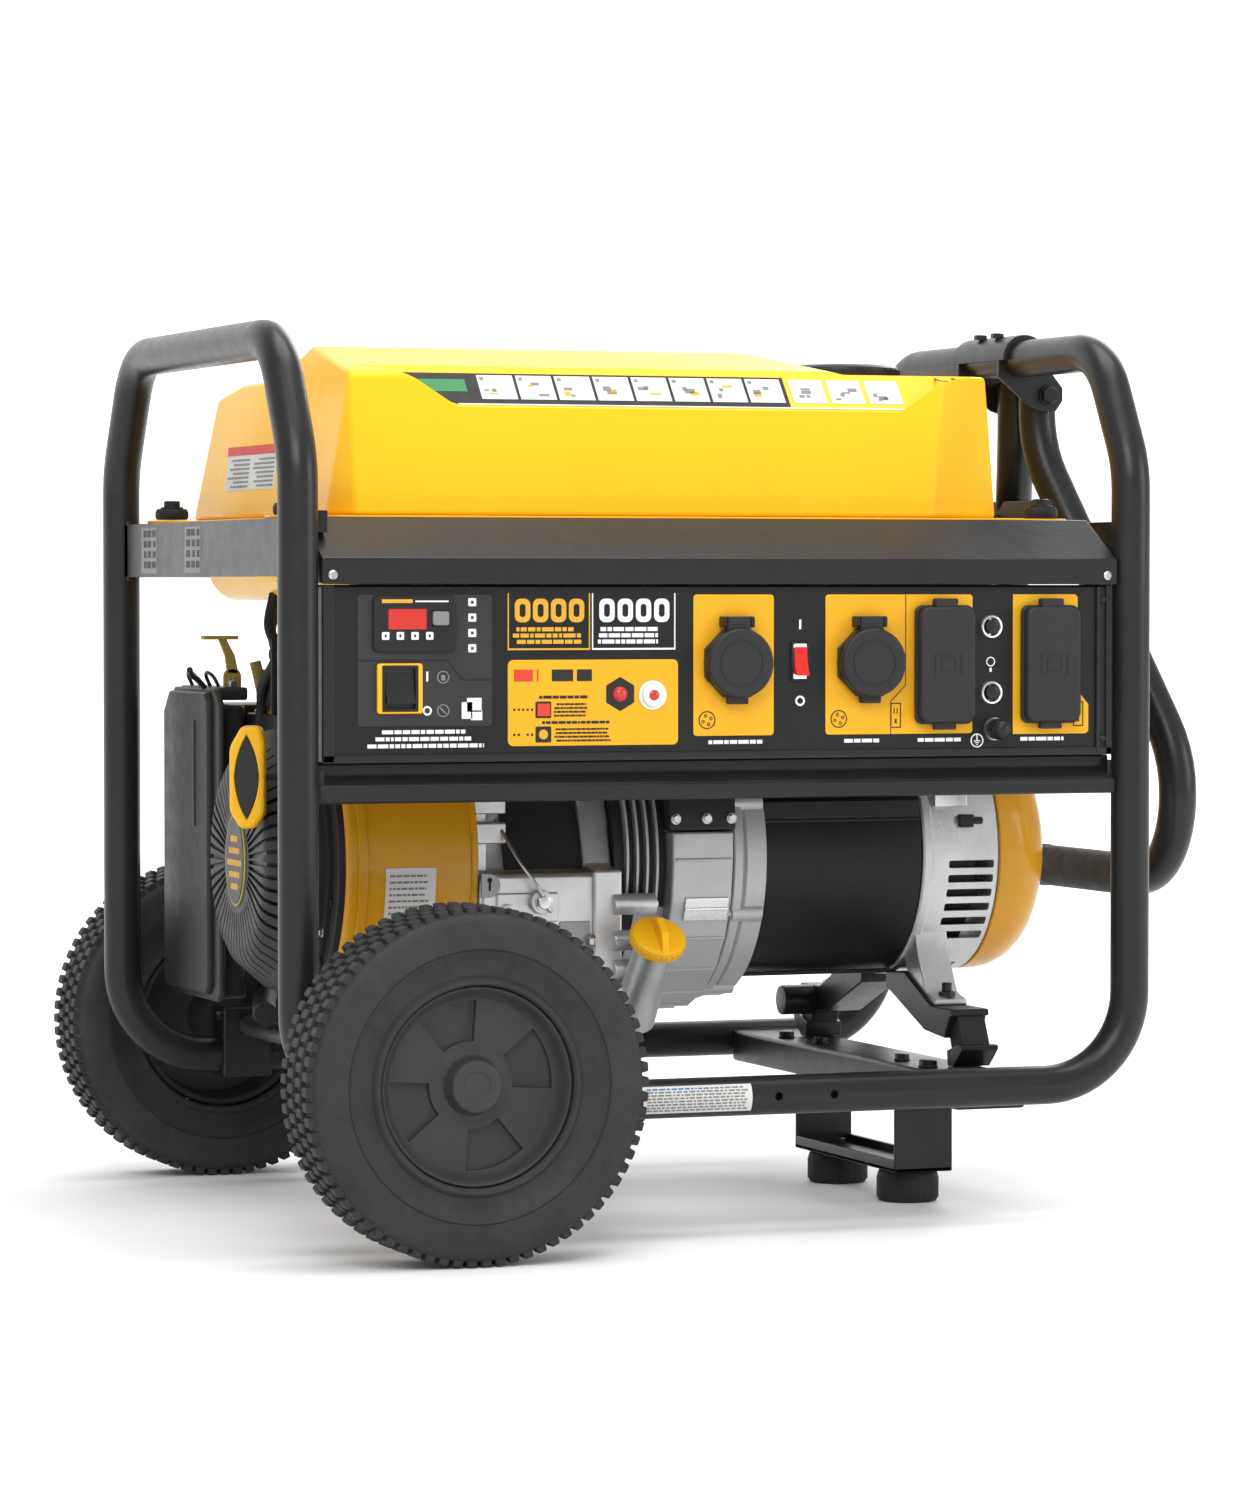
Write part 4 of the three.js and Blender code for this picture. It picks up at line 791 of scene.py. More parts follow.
def tank_corner_tools():
    """What the ends' slopes, the flat round the filler and the two front corners take away."""
    x = TANK_HALF
    lean = 14 / 127
    top = 670
    tools = []
    for s in SIDES:
        tools.append(Build().prism("Y", [(s * x, 527), (s * (x + 40), 527), (s * (x + 40), top),
                                         (s * (x - lean * (top - 528)), top)], -180, 250, 0))
    filler_flat = [(85, 656), (85, top), (320, top), (320, 636), (138, 636)]
    tools.append(Build().prism("Y", filler_flat, -180, 250, 0))
    for corner in ([(-x - 5, -118), (-x - 5, -170), (-252, -170), (-256, -157)],
                   [(x + 5, -112), (x + 5, -170), (196, -170), (200, -155.5)]):
        tools.append(Build().prism("Z", corner, 520, 680, 0))
    return tools


def strip_recess():
    """The shallow wedge that the label strip lies in."""
    low, high, reach = 178, 243, 14
    grow = (high - low) * reach / STRIP_LENGTH
    wedge = Build().prism("Z", [(-low + grow, -reach), (low - grow, -reach),
                                (high + grow, STRIP_LENGTH + reach),
                                (-high - grow, STRIP_LENGTH + reach)], 0, 40, 0)
    wedge.bm.transform(STRIP_PLACE)
    return wedge


def tank_shell():
    section = [(-155, 528), (-150, 608), (-148, 630), (-143, 634), (-50, 655), (36, 632), (122, 632),
               (189, 623), (224, 528)]
    build = Build().prism("X", section, -TANK_HALF, TANK_HALF, 0)
    build.carve(*tank_corner_tools())
    build.round_edges(7.0, 4, 9)
    build.carve(strip_recess())
    build.carve(Build().rod("Z", FILLER_NECK, 33, 618, 680, 48, 0))
    build.round_edges(1.1, 2, 24, keep=lambda e: all(v.co.z > 603 and v.co.y < -120 for v in e.verts))
    build.piece("tank_shell", "enamel_yellow", replaces=["tank_upper"], smooth=40)


def tank_pan():
    flange = Build().prism("Z", rounded(-279.5, 279.5, -163, 226, 14), 525.2, 527.7, 0.9, 2)
    for x, y in TANK_LUGS:
        x0, x1 = span(math.copysign(1, x), 318, 260)
        flange.prism("Z", rounded(x0, x1, y - 14, y + 14, 8), 525.3, 527.6, 0.7)
    flange.piece("tank_flange", "enamel_yellow")
    half = [(263.5, 527), (263.5, 486), (257, 473), (246, 465)]
    pan = Build().prism("Y", mirrored(-1, half) + half[::-1], -147, 216, 9, 5, 12)
    pan.prism("X", [(-60, 470), (-30, 457), (-10, 456), (50, 456), (80, 457), (112, 470)],
              -243, -150, 6, 4, 12)
    pan.piece("tank_pan", "enamel_yellow", replaces=["tank_lower"], smooth=40)


def tank_strip():
    """The label strip's band and flash, drawn flat and then laid on the slope."""
    top = STRIP_LENGTH
    dark = Build().prism("Z", [(-238, top - 1.5), (-176, 1.5), (88, 1.5), (88, top - 1.5)], -0.1, 0.25, 0,
                         matrix=STRIP_PLACE)
    dark.piece("strip_dark_band", "print_black")
    green = Build().prism("Z", [(-216, top - 8), (-196, 14), (-166, 14), (-166, top - 8)], 0.2, 0.5, 0,
                          matrix=STRIP_PLACE)
    green.piece("strip_green_flash", "print_green")


def strip_cells():
    """A row of framed cells and three loose ones, each with a few plain marks."""
    def flat(build, u0, u1, v0, v1, z0, z1):
        build.box(u0, u1, v0, v1, z0, z1, 0, matrix=STRIP_PLACE)

    cells = Build()
    marks = Build()
    tints = Build()
    top = STRIP_LENGTH - 3.5
    rng = random.Random(7)
    pitch = 30.4
    for k in range(8):
        u0 = -156 + k * pitch
        flat(cells, u0, u0 + pitch - 2.4, 7, top, 0.2, 0.5)
        for j in range(3):
            a = u0 + 3 + rng.uniform(0, 12)
            b = 9.5 + rng.uniform(0, 12)
            flat(marks if j else tints, a, a + rng.uniform(3, 9), b, b + rng.uniform(1.4, 5), 0.45, 0.65)
        flat(marks, u0 + 2, u0 + 5, top - 5, top - 2, 0.45, 0.65)
    for k in range(3):
        u0 = 92 + k * 31
        flat(cells, u0, u0 + 27, 7, top, 0.1, 0.4)
        for j in range(4):
            a = u0 + 3 + rng.uniform(0, 14)
            b = 9.5 + rng.uniform(0, 12)
            flat(marks, a, a + rng.uniform(3, 8), b, b + rng.uniform(1.4, 4), 0.38, 0.6)
    flat(cells, -176, 186, 1.2, 2.4, 0.2, 0.5)
    cells.piece("strip_cells", "label_white")
    marks.piece("strip_marks", "print_grey")
    tints.piece("strip_tints", "plate_yellow")


def tank_symbol():
    place = Matrix.Translation((222, -131.5, 633.2)) @ Matrix.Rotation(0.226, 4, "X")
    symbol = Build().turned("Z", (0, 0), wall(7.4, 9.0, -0.1, 0.4), 48, place)
    symbol.piece("tank_round_symbol", "print_black")


def fuel_cap():
    at = FILLER_NECK
    build = Build()
    build.turned("Z", at, [(0, 622.3), (31, 622.3), (31, 636.4), (45, 636.4), (46, 638), (46, 645),
                           (45.2, 647.4), (42, 649.4), (36, 650.2), (16, 650.2), (14, 649), (0, 649)], 72)
    for k in range(36):
        turn = about("Z", at, k * math.pi / 18)
        build.box(44.6, 46.6, -1.5, 1.5, 637.5, 646.5, 0.6, 1, matrix=turn)
    build.box(at[0] - 14, at[0] + 14, at[1] - 3, at[1] + 3, 648.6, 650.3, 0.6)
    build.piece("fuel_cap_moulded", "device_black", "cap", replaces=["fuel_cap"])
    collar = Build().turned("Z", at, [(33.5, 630), (38, 630), (38, 635.5), (36, 636.1), (33.5, 636.1),
                                      (33.5, 630)], 64)
    collar.piece("filler_collar", "black_steel")


# ---------------------------------------------------------------- hood, panel and shelf
def hood():
    x = 311.0
    outline = [(-247, 477.4), (-247, 496), (-194, 526), (-163.8, 526), (-163.8, 524), (-193.4, 524),
               (-245, 494.6), (-245, 477.4)]
    build = Build().prism("X", outline, -x, x, 0)
    build.round_edges(1.8, 3, 15)
    for s in SIDES:
        x0, x1 = sorted((s * x, s * (x - 2)))
        build.prism("X", [(-246.4, 478), (-246.4, 495.8), (-193.8, 525.4), (-166, 525.4), (-166, 505),
                          (-200, 478)], x0, x1, 0.6)
    build.piece("hood_sheet", "powder_coat", replaces=["hood"])
    screws = Build()
    for px in (-303, 303):
        screws.screw("Y", (px, 484), -247, 3.6, -1)
    screws.piece("hood_screws", "zinc_steel")
    tab = Build().box(-311, -300, -226, -208, 514, 530, 1)
    tab.piece("hood_corner_tab", "black_steel")


DISPLAY = (-272, -210, 429, 469)
KEY = (-228, -216, 448, 458)
SWITCH = (-252, 403, 22, 28)
ALARM = (-59, 397, 17)
BREAKER_ROCKER = (57, 421, 11, 25)
TWISTS = ((5, 420), (110, 420))
DUPLEXES = ((170, 418), (256, 418))
BREAKERS = ((210, 446), (210, 397))
GROUND = (213, 370)


THROUGH = (FACE - 5, FACE + 8)


def panel_cutters():
    """The hollow behind the face and a hole for each device."""
    tools = [Build().box(-307, 307, FACE + 2, FACE + 90, 352, 475, 0)]
    for x0, x1, z0, z1 in ((-264.5, -239.5, 387.5, 418.5), (51, 63, 407.5, 434.5),
                           (-268, -214, 433, 465)):
        tools.append(Build().box(x0, x1, *THROUGH, z0, z1, 0))
    tools.append(Build().rod("Y", ALARM[:2], 9, *THROUGH, 32, 0))
    for at in BREAKERS:
        tools.append(Build().rod("Y", at, 6, *THROUGH, 24, 0))
    return tools + outlet_cutters()


def outlet_cutters():
    tools = [Build().rod("Y", at, 20.5, *THROUGH, 40, 0) for at in TWISTS]
    for x, z in DUPLEXES:
        tools.append(Build().box(x - 18.5, x + 18.5, *THROUGH, z - 37.5, z + 37.5, 0))
    return tools


def panel():
    build = Build()
    build.box(-309, 309, FACE, FACE + 78, 350, 477, 2.2, 3)
    build.carve(*panel_cutters())
    build.piece("panel_case", "panel_paint", replaces=["control_panel"])
    edge = Build()
    edge.box(-309, 309, FACE - 1.6, FACE, 350, 356, 0.7)
    edge.box(-309, -300.5, FACE - 1.6, FACE, 350.2, 477, 0.7)
    edge.box(296, 299, FACE - 2.2, FACE, 352, 476, 0.7)
    edge.box(304, 309, FACE - 1.6, FACE, 350.2, 477, 0.7)
    edge.piece("panel_rim", "powder_coat")
    screws = Build()
    for at in ((-303.5, 362), (-303.5, 470), (302, 362), (302, 466)):
        screws.screw("Y", at, FACE - 0.5, 2.6, -1)
    screws.piece("panel_screws", "black_steel")


def shelf():
    back = FACE + 78
    z = 321
    build = Build().prism("X", [
        (FACE, z), (FACE, z + 12), (FACE + 9, z + 20), (FACE + 9, 349.6), (back, 349.6), (back, 346.6),
        (FACE + 12, 346.6), (FACE + 12, z + 18), (FACE + 3, z + 10), (FACE + 3, z)], -311, 311, 0)
    build.round_edges(1.4, 3, 15)
    for s in SIDES:
        x0, x1 = sorted((s * 311, s * 307))
        build.box(x0, x1, FACE + 2, FACE + 40, z + 1, 346, 0.8)
    build.piece("panel_shelf_sheet", "powder_coat", replaces=["panel_shelf"])
    bar = Build().prism("X", rounded(FACE - 2.2, FACE + 0.4, z + 0.6, z + 11.6, 1.2), -311, 311, 0)
    bar.piece("shelf_front_bar", "powder_coat")


# ---------------------------------------------------------------- panel devices
STEP_FACE = FACE - 0.5
DISPLAY_FACE = FACE - 4
PLATE_FACE = FACE - 0.7


def stroke(build, x0, x1, z0, z1, y=FACE, proud=0.3):
    """A printed bar on one of the panel's faces."""
    build.box(x0, x1, y - proud, y + 0.1, z0, z1, 0)


def print_rows(build, x0, x1, z0, z1, rows, seed, y=FACE, gap=0.45):
    """Rows of short bars that stand for small print."""
    rng = random.Random(seed)
    pitch = (z1 - z0) / rows
    for row in range(rows):
        z = z0 + row * pitch
        height = pitch * (1 - gap)
        end = x1 - rng.uniform(0, 0.16) * (x1 - x0)
        x = x0 + rng.uniform(0, 0.08) * (x1 - x0)
        while x < end:
            w = rng.uniform(0.7, 3.2) * height
            stroke(build, x, min(x + w, end), z, z + height, y, 0.25)
            x += w + 0.35 * height


def fine_line(build, points, y, r):
    """A thin raised line through (x, z) points."""
    for (xa, za), (xb, zb) in zip(points, points[1:]):
        ends = [Vector((xa, y, za)), Vector((xb, y, zb))]
        way = (ends[1] - ends[0]).normalized()
        build.sweep([(ends[0], way), (ends[1], way)], r, 8)


def flat_ring(build, x, z, r, width, y=FACE, depth=0.3, sides=32):
    build.turned("Y", (x, z), wall(r - width, r, y - depth, y + 0.1), sides)


def switch_plate():
    plate = Build().prism("Y", rounded(-283, -182, 376, 470, 3), STEP_FACE, FACE + 0.2, 0.2)
    plate.piece("switch_plate", "plate_grey")
    line = Build()
    fine_line(line, [(-283, 423), (-216, 423), (-204, 409), (-182, 409)], STEP_FACE, 0.55)
    line.piece("switch_plate_step", "print_black")


def display():
    """The meter's body with its window and key."""
    x0, x1, z0, z1 = DISPLAY
    body = Build().prism("Y", rounded(x0, x1, z0, z1, 4), DISPLAY_FACE, STEP_FACE, 0.8, 3)
    body.box(x0 + 4.5, x1 - 4.5, FACE - 1, FACE + 20, z0 + 4.5, z1 - 4.5, 0.5)
    cuts = Build().box(KEY[0] - 0.5, KEY[1] + 0.5, FACE - 6, FACE + 6, KEY[2] - 0.5, KEY[3] + 0.5, 0)
    cuts.box(-261, -232, FACE - 6, FACE - 3.2, 445, 460, 0)
    body.carve(cuts)
    body.piece("display_body", "device_black", replaces=["display_module"])
    screen = Build().box(-261, -232, FACE - 3.4, FACE - 2, 445, 460, 0.2)
    screen.piece("display_screen", "lens_red")
    key = Build().prism("Y", rounded(*KEY, 1.5), FACE - 6, FACE + 3.5, 0.6, 3)
    key.piece("display_key_cap", "print_grey", "key", replaces=["display_key"])
    gold = Build()
    stroke(gold, -266, -243, 464, 466.6, DISPLAY_FACE, 0.25)
    gold.piece("display_gold_bar", "print_gold")


def switch_plate_white_marks():
    white = Build()
    for k in range(4):
        x = -263.25 + k * 11
        z = 464.5 - k * 11
        white.prism("Y", rounded(x - 2.75, x + 2.75, 437.8, 443.3, 0.8), FACE - 4.25, FACE - 3.9, 0)
        white.prism("Y", rounded(-200, -194, z - 2.9, z + 2.9, 0.8), FACE - 0.75, FACE - 0.4, 0)
    stroke(white, -241, -216, 464.6, 465.7, DISPLAY_FACE, 0.25)
    for x0, x1, z0, z1 in ((-205, -197, 381, 393), (-201, -190, 386, 396), (-198, -189.5, 380, 387),
                           (-231.8, -230.2, 408, 415)):
        stroke(white, x0, x1, z0, z1, STEP_FACE, 0.28)
    flat_ring(white, -231, 387, 3.4, 1.3, STEP_FACE)
    for x0, x1, z, seed in ((-268, -197, 370.5, 11), (-274, -191, 365.5, 12), (-281, -184, 360.5, 13)):
        print_rows(white, x0, x1, z, z + 4, 1, seed, gap=0.3)
    white.piece("panel_white_marks", "print_white")


def switch_plate_dark_marks():
    dots = Build()
    for k in range(4):
        z = 464.5 - k * 11
        stroke(dots, -264 + k * 11, -262.5 + k * 11, 439.6, 441.6, FACE - 4.3, 0.1)
        stroke(dots, -198, -196, z - 1, z + 1, FACE - 0.8, 0.1)
    dots.piece("panel_mark_dots", "print_black")
    grey = Build()
    for z in (411, 387):
        flat_ring(grey, -219, z, 4.6, 0.8, STEP_FACE)
    grey.box(-3, 3, FACE - 0.78, FACE - 0.4, -0.6, 0.4, 0, matrix=about("Y", (-219, 387), 0.8))
    stroke(grey, -220.5, -217.5, 408.5, 412.5, STEP_FACE, 0.28)
    grey.piece("panel_grey_marks", "print_grey")


def engine_switch():
    """A rocker in a dark frame and a yellow bezel."""
    x, z, w, h = SWITCH
    bezel = Build().prism("Y", pad(x, z, 17, 18, 2), FACE - 3.2, FACE - 0.3, 0.7)
    bezel.carve(Build().prism("Y", pad(x, z, w / 2 + 0.6, h / 2 + 0.6, 1), FACE - 9, FACE + 9, 0))
    bezel.round_edges(0.4, 2, 40)
    bezel.piece("engine_switch_bezel", "moulded_yellow")
    inner = Build().prism("Y", pad(x, z, w / 2 + 2.6, h / 2 + 2.6, 1), FACE - 3.7, FACE + 4, 0.4)
    inner.carve(Build().prism("Y", pad(x, z, w / 2 + 0.3, h / 2 + 0.3, 1), FACE - 9, FACE + 9, 0))
    inner.piece("engine_switch_frame", "device_black")
    rocker(x, z, w, h - 2.6, "engine_rocker_paddle", "device_black", "engine_switch", "engine_rocker")


def rocker(x, z, w, h, name, material, body, node):
    """A paddle whose face slopes and swells; the slope shows which side is pressed."""
    half = h / 2 - 1.8
    front = []
    for k in range(9):
        t = k / 8
        front.append((FACE - 7 + 5 * t + 1.6 * math.sin(math.pi * t), z - half + 2 * half * t))
    back = FACE + 9
    build = Build().prism("X", [(back, z - half * 0.7)] + front + [(back, z + half * 0.7)],
                          x - w / 2 + 0.4, x + w / 2 - 0.4, 0.6, 2, 30)
    build.piece(name, material, body, replaces=[node])


def rating_box(name, material, x0, x1, seed):
    """A thin frame round four plain rings, over rows of small print."""
    line = 1.3
    build = Build()
    stroke(build, x0, x1, 430, 430 + line)
    stroke(build, x0, x0 + line * 0.7, 430 + line, 471)
    stroke(build, x1 - line * 0.7, x1, 430 + line, 471)
    pitch = (x1 - x0 - 8) / 4
    for k in range(4):
        x = x0 + 4.5 + pitch * (k + 0.5)
        digit = Build().prism("Y", pad(x, 458.5, 5.9, 8.5, 4.4), FACE - 0.3, FACE + 0.1, 0)
        digit.carve(Build().prism("Y", pad(x, 458.5, 2.3, 4.7, 2.1), FACE - 1.3, FACE + 1.1, 0))
        build.gather(digit.bm)
    print_rows(build, x0 + 4, x1 - 5, 434.5, 448, 3, seed, gap=0.35)
    build.piece(name, material)


def alarm_plate():
    x0, x1, z0, z1 = -170, -39, 361, 423
    plate = Build().prism("Y", rounded(x0, x1, z0, z1, 4), PLATE_FACE, FACE + 0.1, 0.25)
    plate.piece("alarm_plate", "plate_yellow")
    y = PLATE_FACE
    red = Build()
    print_rows(red, x0 + 4.5, x0 + 24, 407.5, 416, 1, 4, y, gap=0.0)
    red.box(-147.5, -138, y - 0.55, y - 0.2, 382.5, 391.5, 0)
    red.piece("alarm_red_marks", "print_red")
    dot = [(0, y - 0.6), (3.2, y - 0.6), (3.6, y - 0.2), (0, y - 0.2)]
    green = Build().turned("Y", (-143, 369.2), dot, 24)
    green.piece("alarm_green_mark", "print_gold")
    lamp = Build().turned("Y", (-84, 398), [(0, y - 3.4), (2.4, y - 3.1), (4.6, y - 2), (5.6, y - 0.4),
                                            (5.6, y), (0, y)], 40)
    lamp.piece("alarm_lamp", "lens_red")


def alarm_dark_marks():
    y = PLATE_FACE
    dark = Build()
    for z in (387, 369.25):
        half = 6 if z > 380 else 5.75
        dark.prism("Y", pad(-143, z, 6, half, 1), y - 0.25, y + 0.1, 0)
    rows = ((-139, -101, 407.5, 416, 1, 6, 0.0), (-147, -106, 395, 397.4, 1, 41, 0.1),
            (-135, -108, 382, 393, 4, 42, 0.5), (-147, -92, 376.8, 379, 1, 43, 0.1),
            (-135, -88, 364, 375, 4, 44, 0.5))
    for x0, x1, z0, z1, count, seed, gap in rows:
        print_rows(dark, x0, x1, z0, z1, count, seed, y, gap)
    for z, dots in ((386.4, (0, 1, 2, 3, 4)), (368.4, (0, 1, 3, 4))):
        for k in dots:
            stroke(dark, -166 + k * 3.4, -164.4 + k * 3.4, z, z + 1.6, y, 0.25)
    dark.prism("Y", arc(-84, 398, 12.4, 30, 330, 5), y - 0.4, y + 0.1, 0.15)
    dark.piece("alarm_dark_marks", "print_black")


def alarm_button():
    x, z = ALARM[:2]
    button = Build().turned("Y", (x, z), [
        (3.9, FACE - 4.6), (5.4, FACE - 5.6), (7.2, FACE - 5.7), (8.3, FACE - 4.8), (8.5, FACE - 3.4),
        (8.5, FACE + 6), (0, FACE + 6), (0, FACE - 3.6), (3.9, FACE - 3.6), (3.9, FACE - 4.6)], 48)
    button.piece("alarm_button_ring", "button_white", "alarm", replaces=["alarm_button"])
    centre = Build().turned("Y", (x, z), [(0, FACE - 5.6), (2.2, FACE - 5.4), (3.6, FACE - 4.6),
                                          (3.8, FACE - 3.5), (0, FACE - 3.5)], 36)
    centre.piece("alarm_button_lens", "lens_red", "alarm")
    collar = Build()
    flat_ring(collar, x, z, 10.6, 1.9, PLATE_FACE, 1.0, 48)
    collar.piece("alarm_button_collar", "button_white")


def outlet_plates():
    build = Build()
    duplex_plate = [(228, 366), (288, 366), (290, 368), (290, 388), (281, 398), (281, 468), (279, 470),
                    (228, 470)]
    for outline in (rounded(-27, 36, 367, 470, 2.5), rounded(77, 195, 367, 470, 2.5), duplex_plate):
        build.prism("Y", outline, PLATE_FACE, FACE + 0.1, 0.25)
    build.carve(*outlet_cutters())
    build.piece("outlet_plates", "plate_yellow")


def outlet_plate_marks():
    """Round and oblong face symbols and the fine line between two outlets."""
    marks = Build()
    y = PLATE_FACE
    for x in (-16.5, 87.5):
        flat_ring(marks, x, 378.5, 6.6, 0.8, y, 0.25)
        for k in range(4):
            flat_ring(marks, *polar((x, 378.5), 3.3, 20 + 90 * k), 1.3, 0.6, y, 0.25, 12)
    symbol = ((-4.2, 4.2, 371.5, 372.3), (-4.2, 4.2, 389.2, 390), (-4.2, -3.4, 372.3, 389.2),
              (3.4, 4.2, 372.3, 389.2), (-1.6, -0.8, 382, 386), (0.8, 1.6, 382, 386),
              (-0.8, 0.8, 375, 378))
    for x in (133, 281.5):
        for x0, x1, z0, z1 in symbol:
            stroke(marks, x + x0, x + x1, z0, z1, y, 0.2)
    fine_line(marks, [(141, 470), (141, 403), (129, 391), (129, 367)], y, 0.35)
    marks.piece("outlet_plate_marks", "print_black")


def outlet_white_marks():
    white = Build()
    for x0, x1, seed in ((-17, 29, 51), (92, 126, 52), (148, 190, 53), (234, 276, 54)):
        print_rows(white, x0, x1, 361, 364.4, 1, seed, gap=0.2)
    stroke(white, 56.2, 57.8, 444.5, 451.5)
    flat_ring(white, 57, 392, 3.8, 1.5)
    flat_ring(white, 199, 361.5, 5.2, 0.9)
    stroke(white, 198.5, 199.5, 361.5, 365.6)
    for k, half in enumerate((2.6, 1.7, 0.8)):
        stroke(white, 199 - half, 199 + half, 360.9 - k * 1.3, 361.6 - k * 1.3)
    flat_ring(white, 210, 420, 3.6, 0.8)
    stroke(white, 209.1, 210.9, 412.5, 415.5)
    white.piece("outlet_white_marks", "print_white")


def main_breaker():
    rim = Build().prism("Y", rounded(49.6, 64.4, 406.4, 435.6, 1.5), FACE - 1.6, FACE + 0.1, 0.4)
    rim.carve(Build().prism("Y", rounded(51.3, 62.7, 408.2, 433.8, 1), FACE - 9, FACE + 9, 0))
    rim.piece("main_breaker_frame", "device_black")
    rocker(*BREAKER_ROCKER, "main_breaker_paddle", "signal_red", "main_breaker", "breaker_rocker")


LID_BACK = FACE - 3.3


def twist_socket(n, x, z):
    """A round face with four curved slots."""
    socket = Build().turned("Y", (x, z), [
        (0, FACE + 1), (17, FACE + 1), (17.6, FACE - 2.4), (18.4, FACE - 3), (23.2, FACE - 3),
        (24, FACE - 2.4), (24, FACE - 0.3), (20, FACE - 0.3), (20, FACE + 30), (0, FACE + 30)], 64)
    slots = Build()
    for k in range(4):
        slots.prism("Y", arc(0, 0, 12, -24, 24, 6) + arc(0, 0, 9.8, 24, -24, 6), FACE - 1, FACE + 18, 0,
                    matrix=about("Y", (x, z), math.radians(45 + 90 * k)))
    socket.carve(slots)
    socket.piece(f"twist_socket_face_{n}", "device_black", replaces=[f"twist_socket_{n}"])


def twist_cover(n, x, z):
    """An eight-sided lid with a round crown, its hinge eye on top and a lift tab below."""
    back, front = LID_BACK, LID_BACK - 13
    cover = Build()
    octagon = [polar((x, z), 27.132, 22.5 + 45 * k) for k in range(8)]
    crown = [polar((x, z), 25.2, t) for t in range(0, 360, 3)]
    cover.prism("Y", octagon, back - 4.5, back, 1.0, 4, 35)
    cover.prism("Y", crown, front, back - 4.4, 2.4, 4, 35)
    flat_ring(cover, x, z, 17, 0.9, front, 0.5, 56)
    cover.box(x - 9, x + 9, back - 8, back, z + 19, z + 34, 1.2, 3)
    cover.rod("X", (back - 4.5, z + 30), 4, x - 8.5, x + 8.5, 24, 0.6)
    cover.box(x - 8, x + 8, back - 6, back, z - 30, z - 20, 1.2, 3)
    cover.piece(f"twist_cover_lid_{n}", "cover_black", f"cover_{n}", replaces=[f"twist_cover_{n}"])
    hinge = Build()
    for s in SIDES:
        a, b = sorted((x + s * 9.4, x + s * 12.2))
        hinge.prism("X", rounded(back - 7.5, PLATE_FACE, z + 26, z + 34, 2), a, b, 0.4)
    hinge.piece(f"twist_cover_hinge_{n}", "device_black")


def duplex_socket(n, x, z):
    socket = Build().box(x - 18, x + 18, FACE - 3, FACE + 28, z - 37, z + 37, 1.0)
    socket.box(x - 20, x + 20, FACE - 3, FACE - 0.3, z - 40, z + 40, 0.8)
    slots = Build()
    for s in SIDES:
        c = z + s * 19
        slots.box(x - 7.4, x - 5.2, FACE - 6, FACE + 10, c - 1, c + 7, 0)
        slots.box(x + 5.2, x + 7.4, FACE - 6, FACE + 10, c - 1, c + 6, 0)
        slots.rod("Y", (x, c - 7), 2.6, FACE - 6, FACE + 10, 24, 0)
    slots.box(x - 4, x + 4, FACE - 6, FACE - 2.2, z - 3.4, z + 3.4, 0)
    socket.carve(slots)
    socket.piece(f"duplex_socket_face_{n}", "device_black", replaces=[f"duplex_socket_{n}"])


def duplex_cover(n, x, z):
    """A crowned lid with a hinge tab, a lift tab and two raised frames."""
    back = LID_BACK
    w, h = 23.5, 44
    cover = Build()
    cover.prism("Y", pad(x, z, w, h, 6), back - 4.5, back, 1.0, 3)
    cover.prism("Y", pad(x, z, w - 1.4, h - 1.4, 7), back - 11, back - 4, 2.4, 4)
    for m, d in ((11, 9), (6, 5)):
        ring = Build().prism("Y", pad(x, z, m, d, 1.5), back - 11.4, back - 10.6, 0)
        ring.carve(Build().prism("Y", pad(x, z, m - 0.8, d - 0.8, 1), back - 13, back, 0))
        cover.gather(ring.bm)
    cover.box(x - 9, x + 9, back - 8, back, z + h - 3, z + h + 5, 1.2, 3)
    cover.box(x - 9, x + 9, back - 5, back, z - h - 4, z - h + 3, 1.2, 3)
    cover.piece(f"duplex_cover_lid_{n}", "cover_black", f"cover_{n + 2}", replaces=[f"duplex_cover_{n}"])


def push_breaker(n, at):
    collar = Build().turned("Y", at, [
        (6.3, FACE - 2.8), (7, FACE - 3.4), (8.2, FACE - 3.2), (9, FACE - 1.6), (9, FACE + 0.1),
        (6.3, FACE + 0.1), (6.3, FACE - 2.8)], 48)
    collar.piece(f"breaker_collar_{n}", "cut_alloy")
    button = Build().turned("Y", at, [
        (0, FACE - 5.2), (3.6, FACE - 5.1), (4.9, FACE - 4.5), (5.5, FACE - 3.4), (5.5, FACE + 6),
        (0, FACE + 6)], 40)
    button.piece(f"breaker_button_cap_{n}", "device_black", f"push_breaker_{n}",
                 replaces=[f"breaker_button_{n}"])


def ground_knob():
    knob = Build().turned("Y", GROUND, [
        (0, FACE - 19.6), (3.6, FACE - 19.3), (6, FACE - 17.6), (7.3, FACE - 14.6), (7.5, FACE - 11),
        (7.5, FACE - 4), (6.6, FACE - 2), (2.8, FACE - 2), (2.8, FACE + 12), (0, FACE + 12)], 48)
    for k in range(18):
        knob.box(-0.5, 0.5, FACE - 15, FACE - 4, 7.1, 7.8, 0.25, 1,
                 matrix=about("Y", GROUND, k * math.pi / 9))
    knob.piece("ground_knob_moulded", "device_black", "ground_terminal", replaces=["ground_knob"])
    washer = Build()
    flat_ring(washer, *GROUND, 8.5, 5.4, FACE, 1.2, 40)
    washer.piece("ground_washer", "zinc_steel")


# ---------------------------------------------------------------- engine
def blower_outline(inset):
    return ([(128 - inset, 230 + inset), (128 - inset, 382 - inset), (-44, 382 - inset)]
            + arc(*SHAFT, 118 - inset, 115, 300, 40))


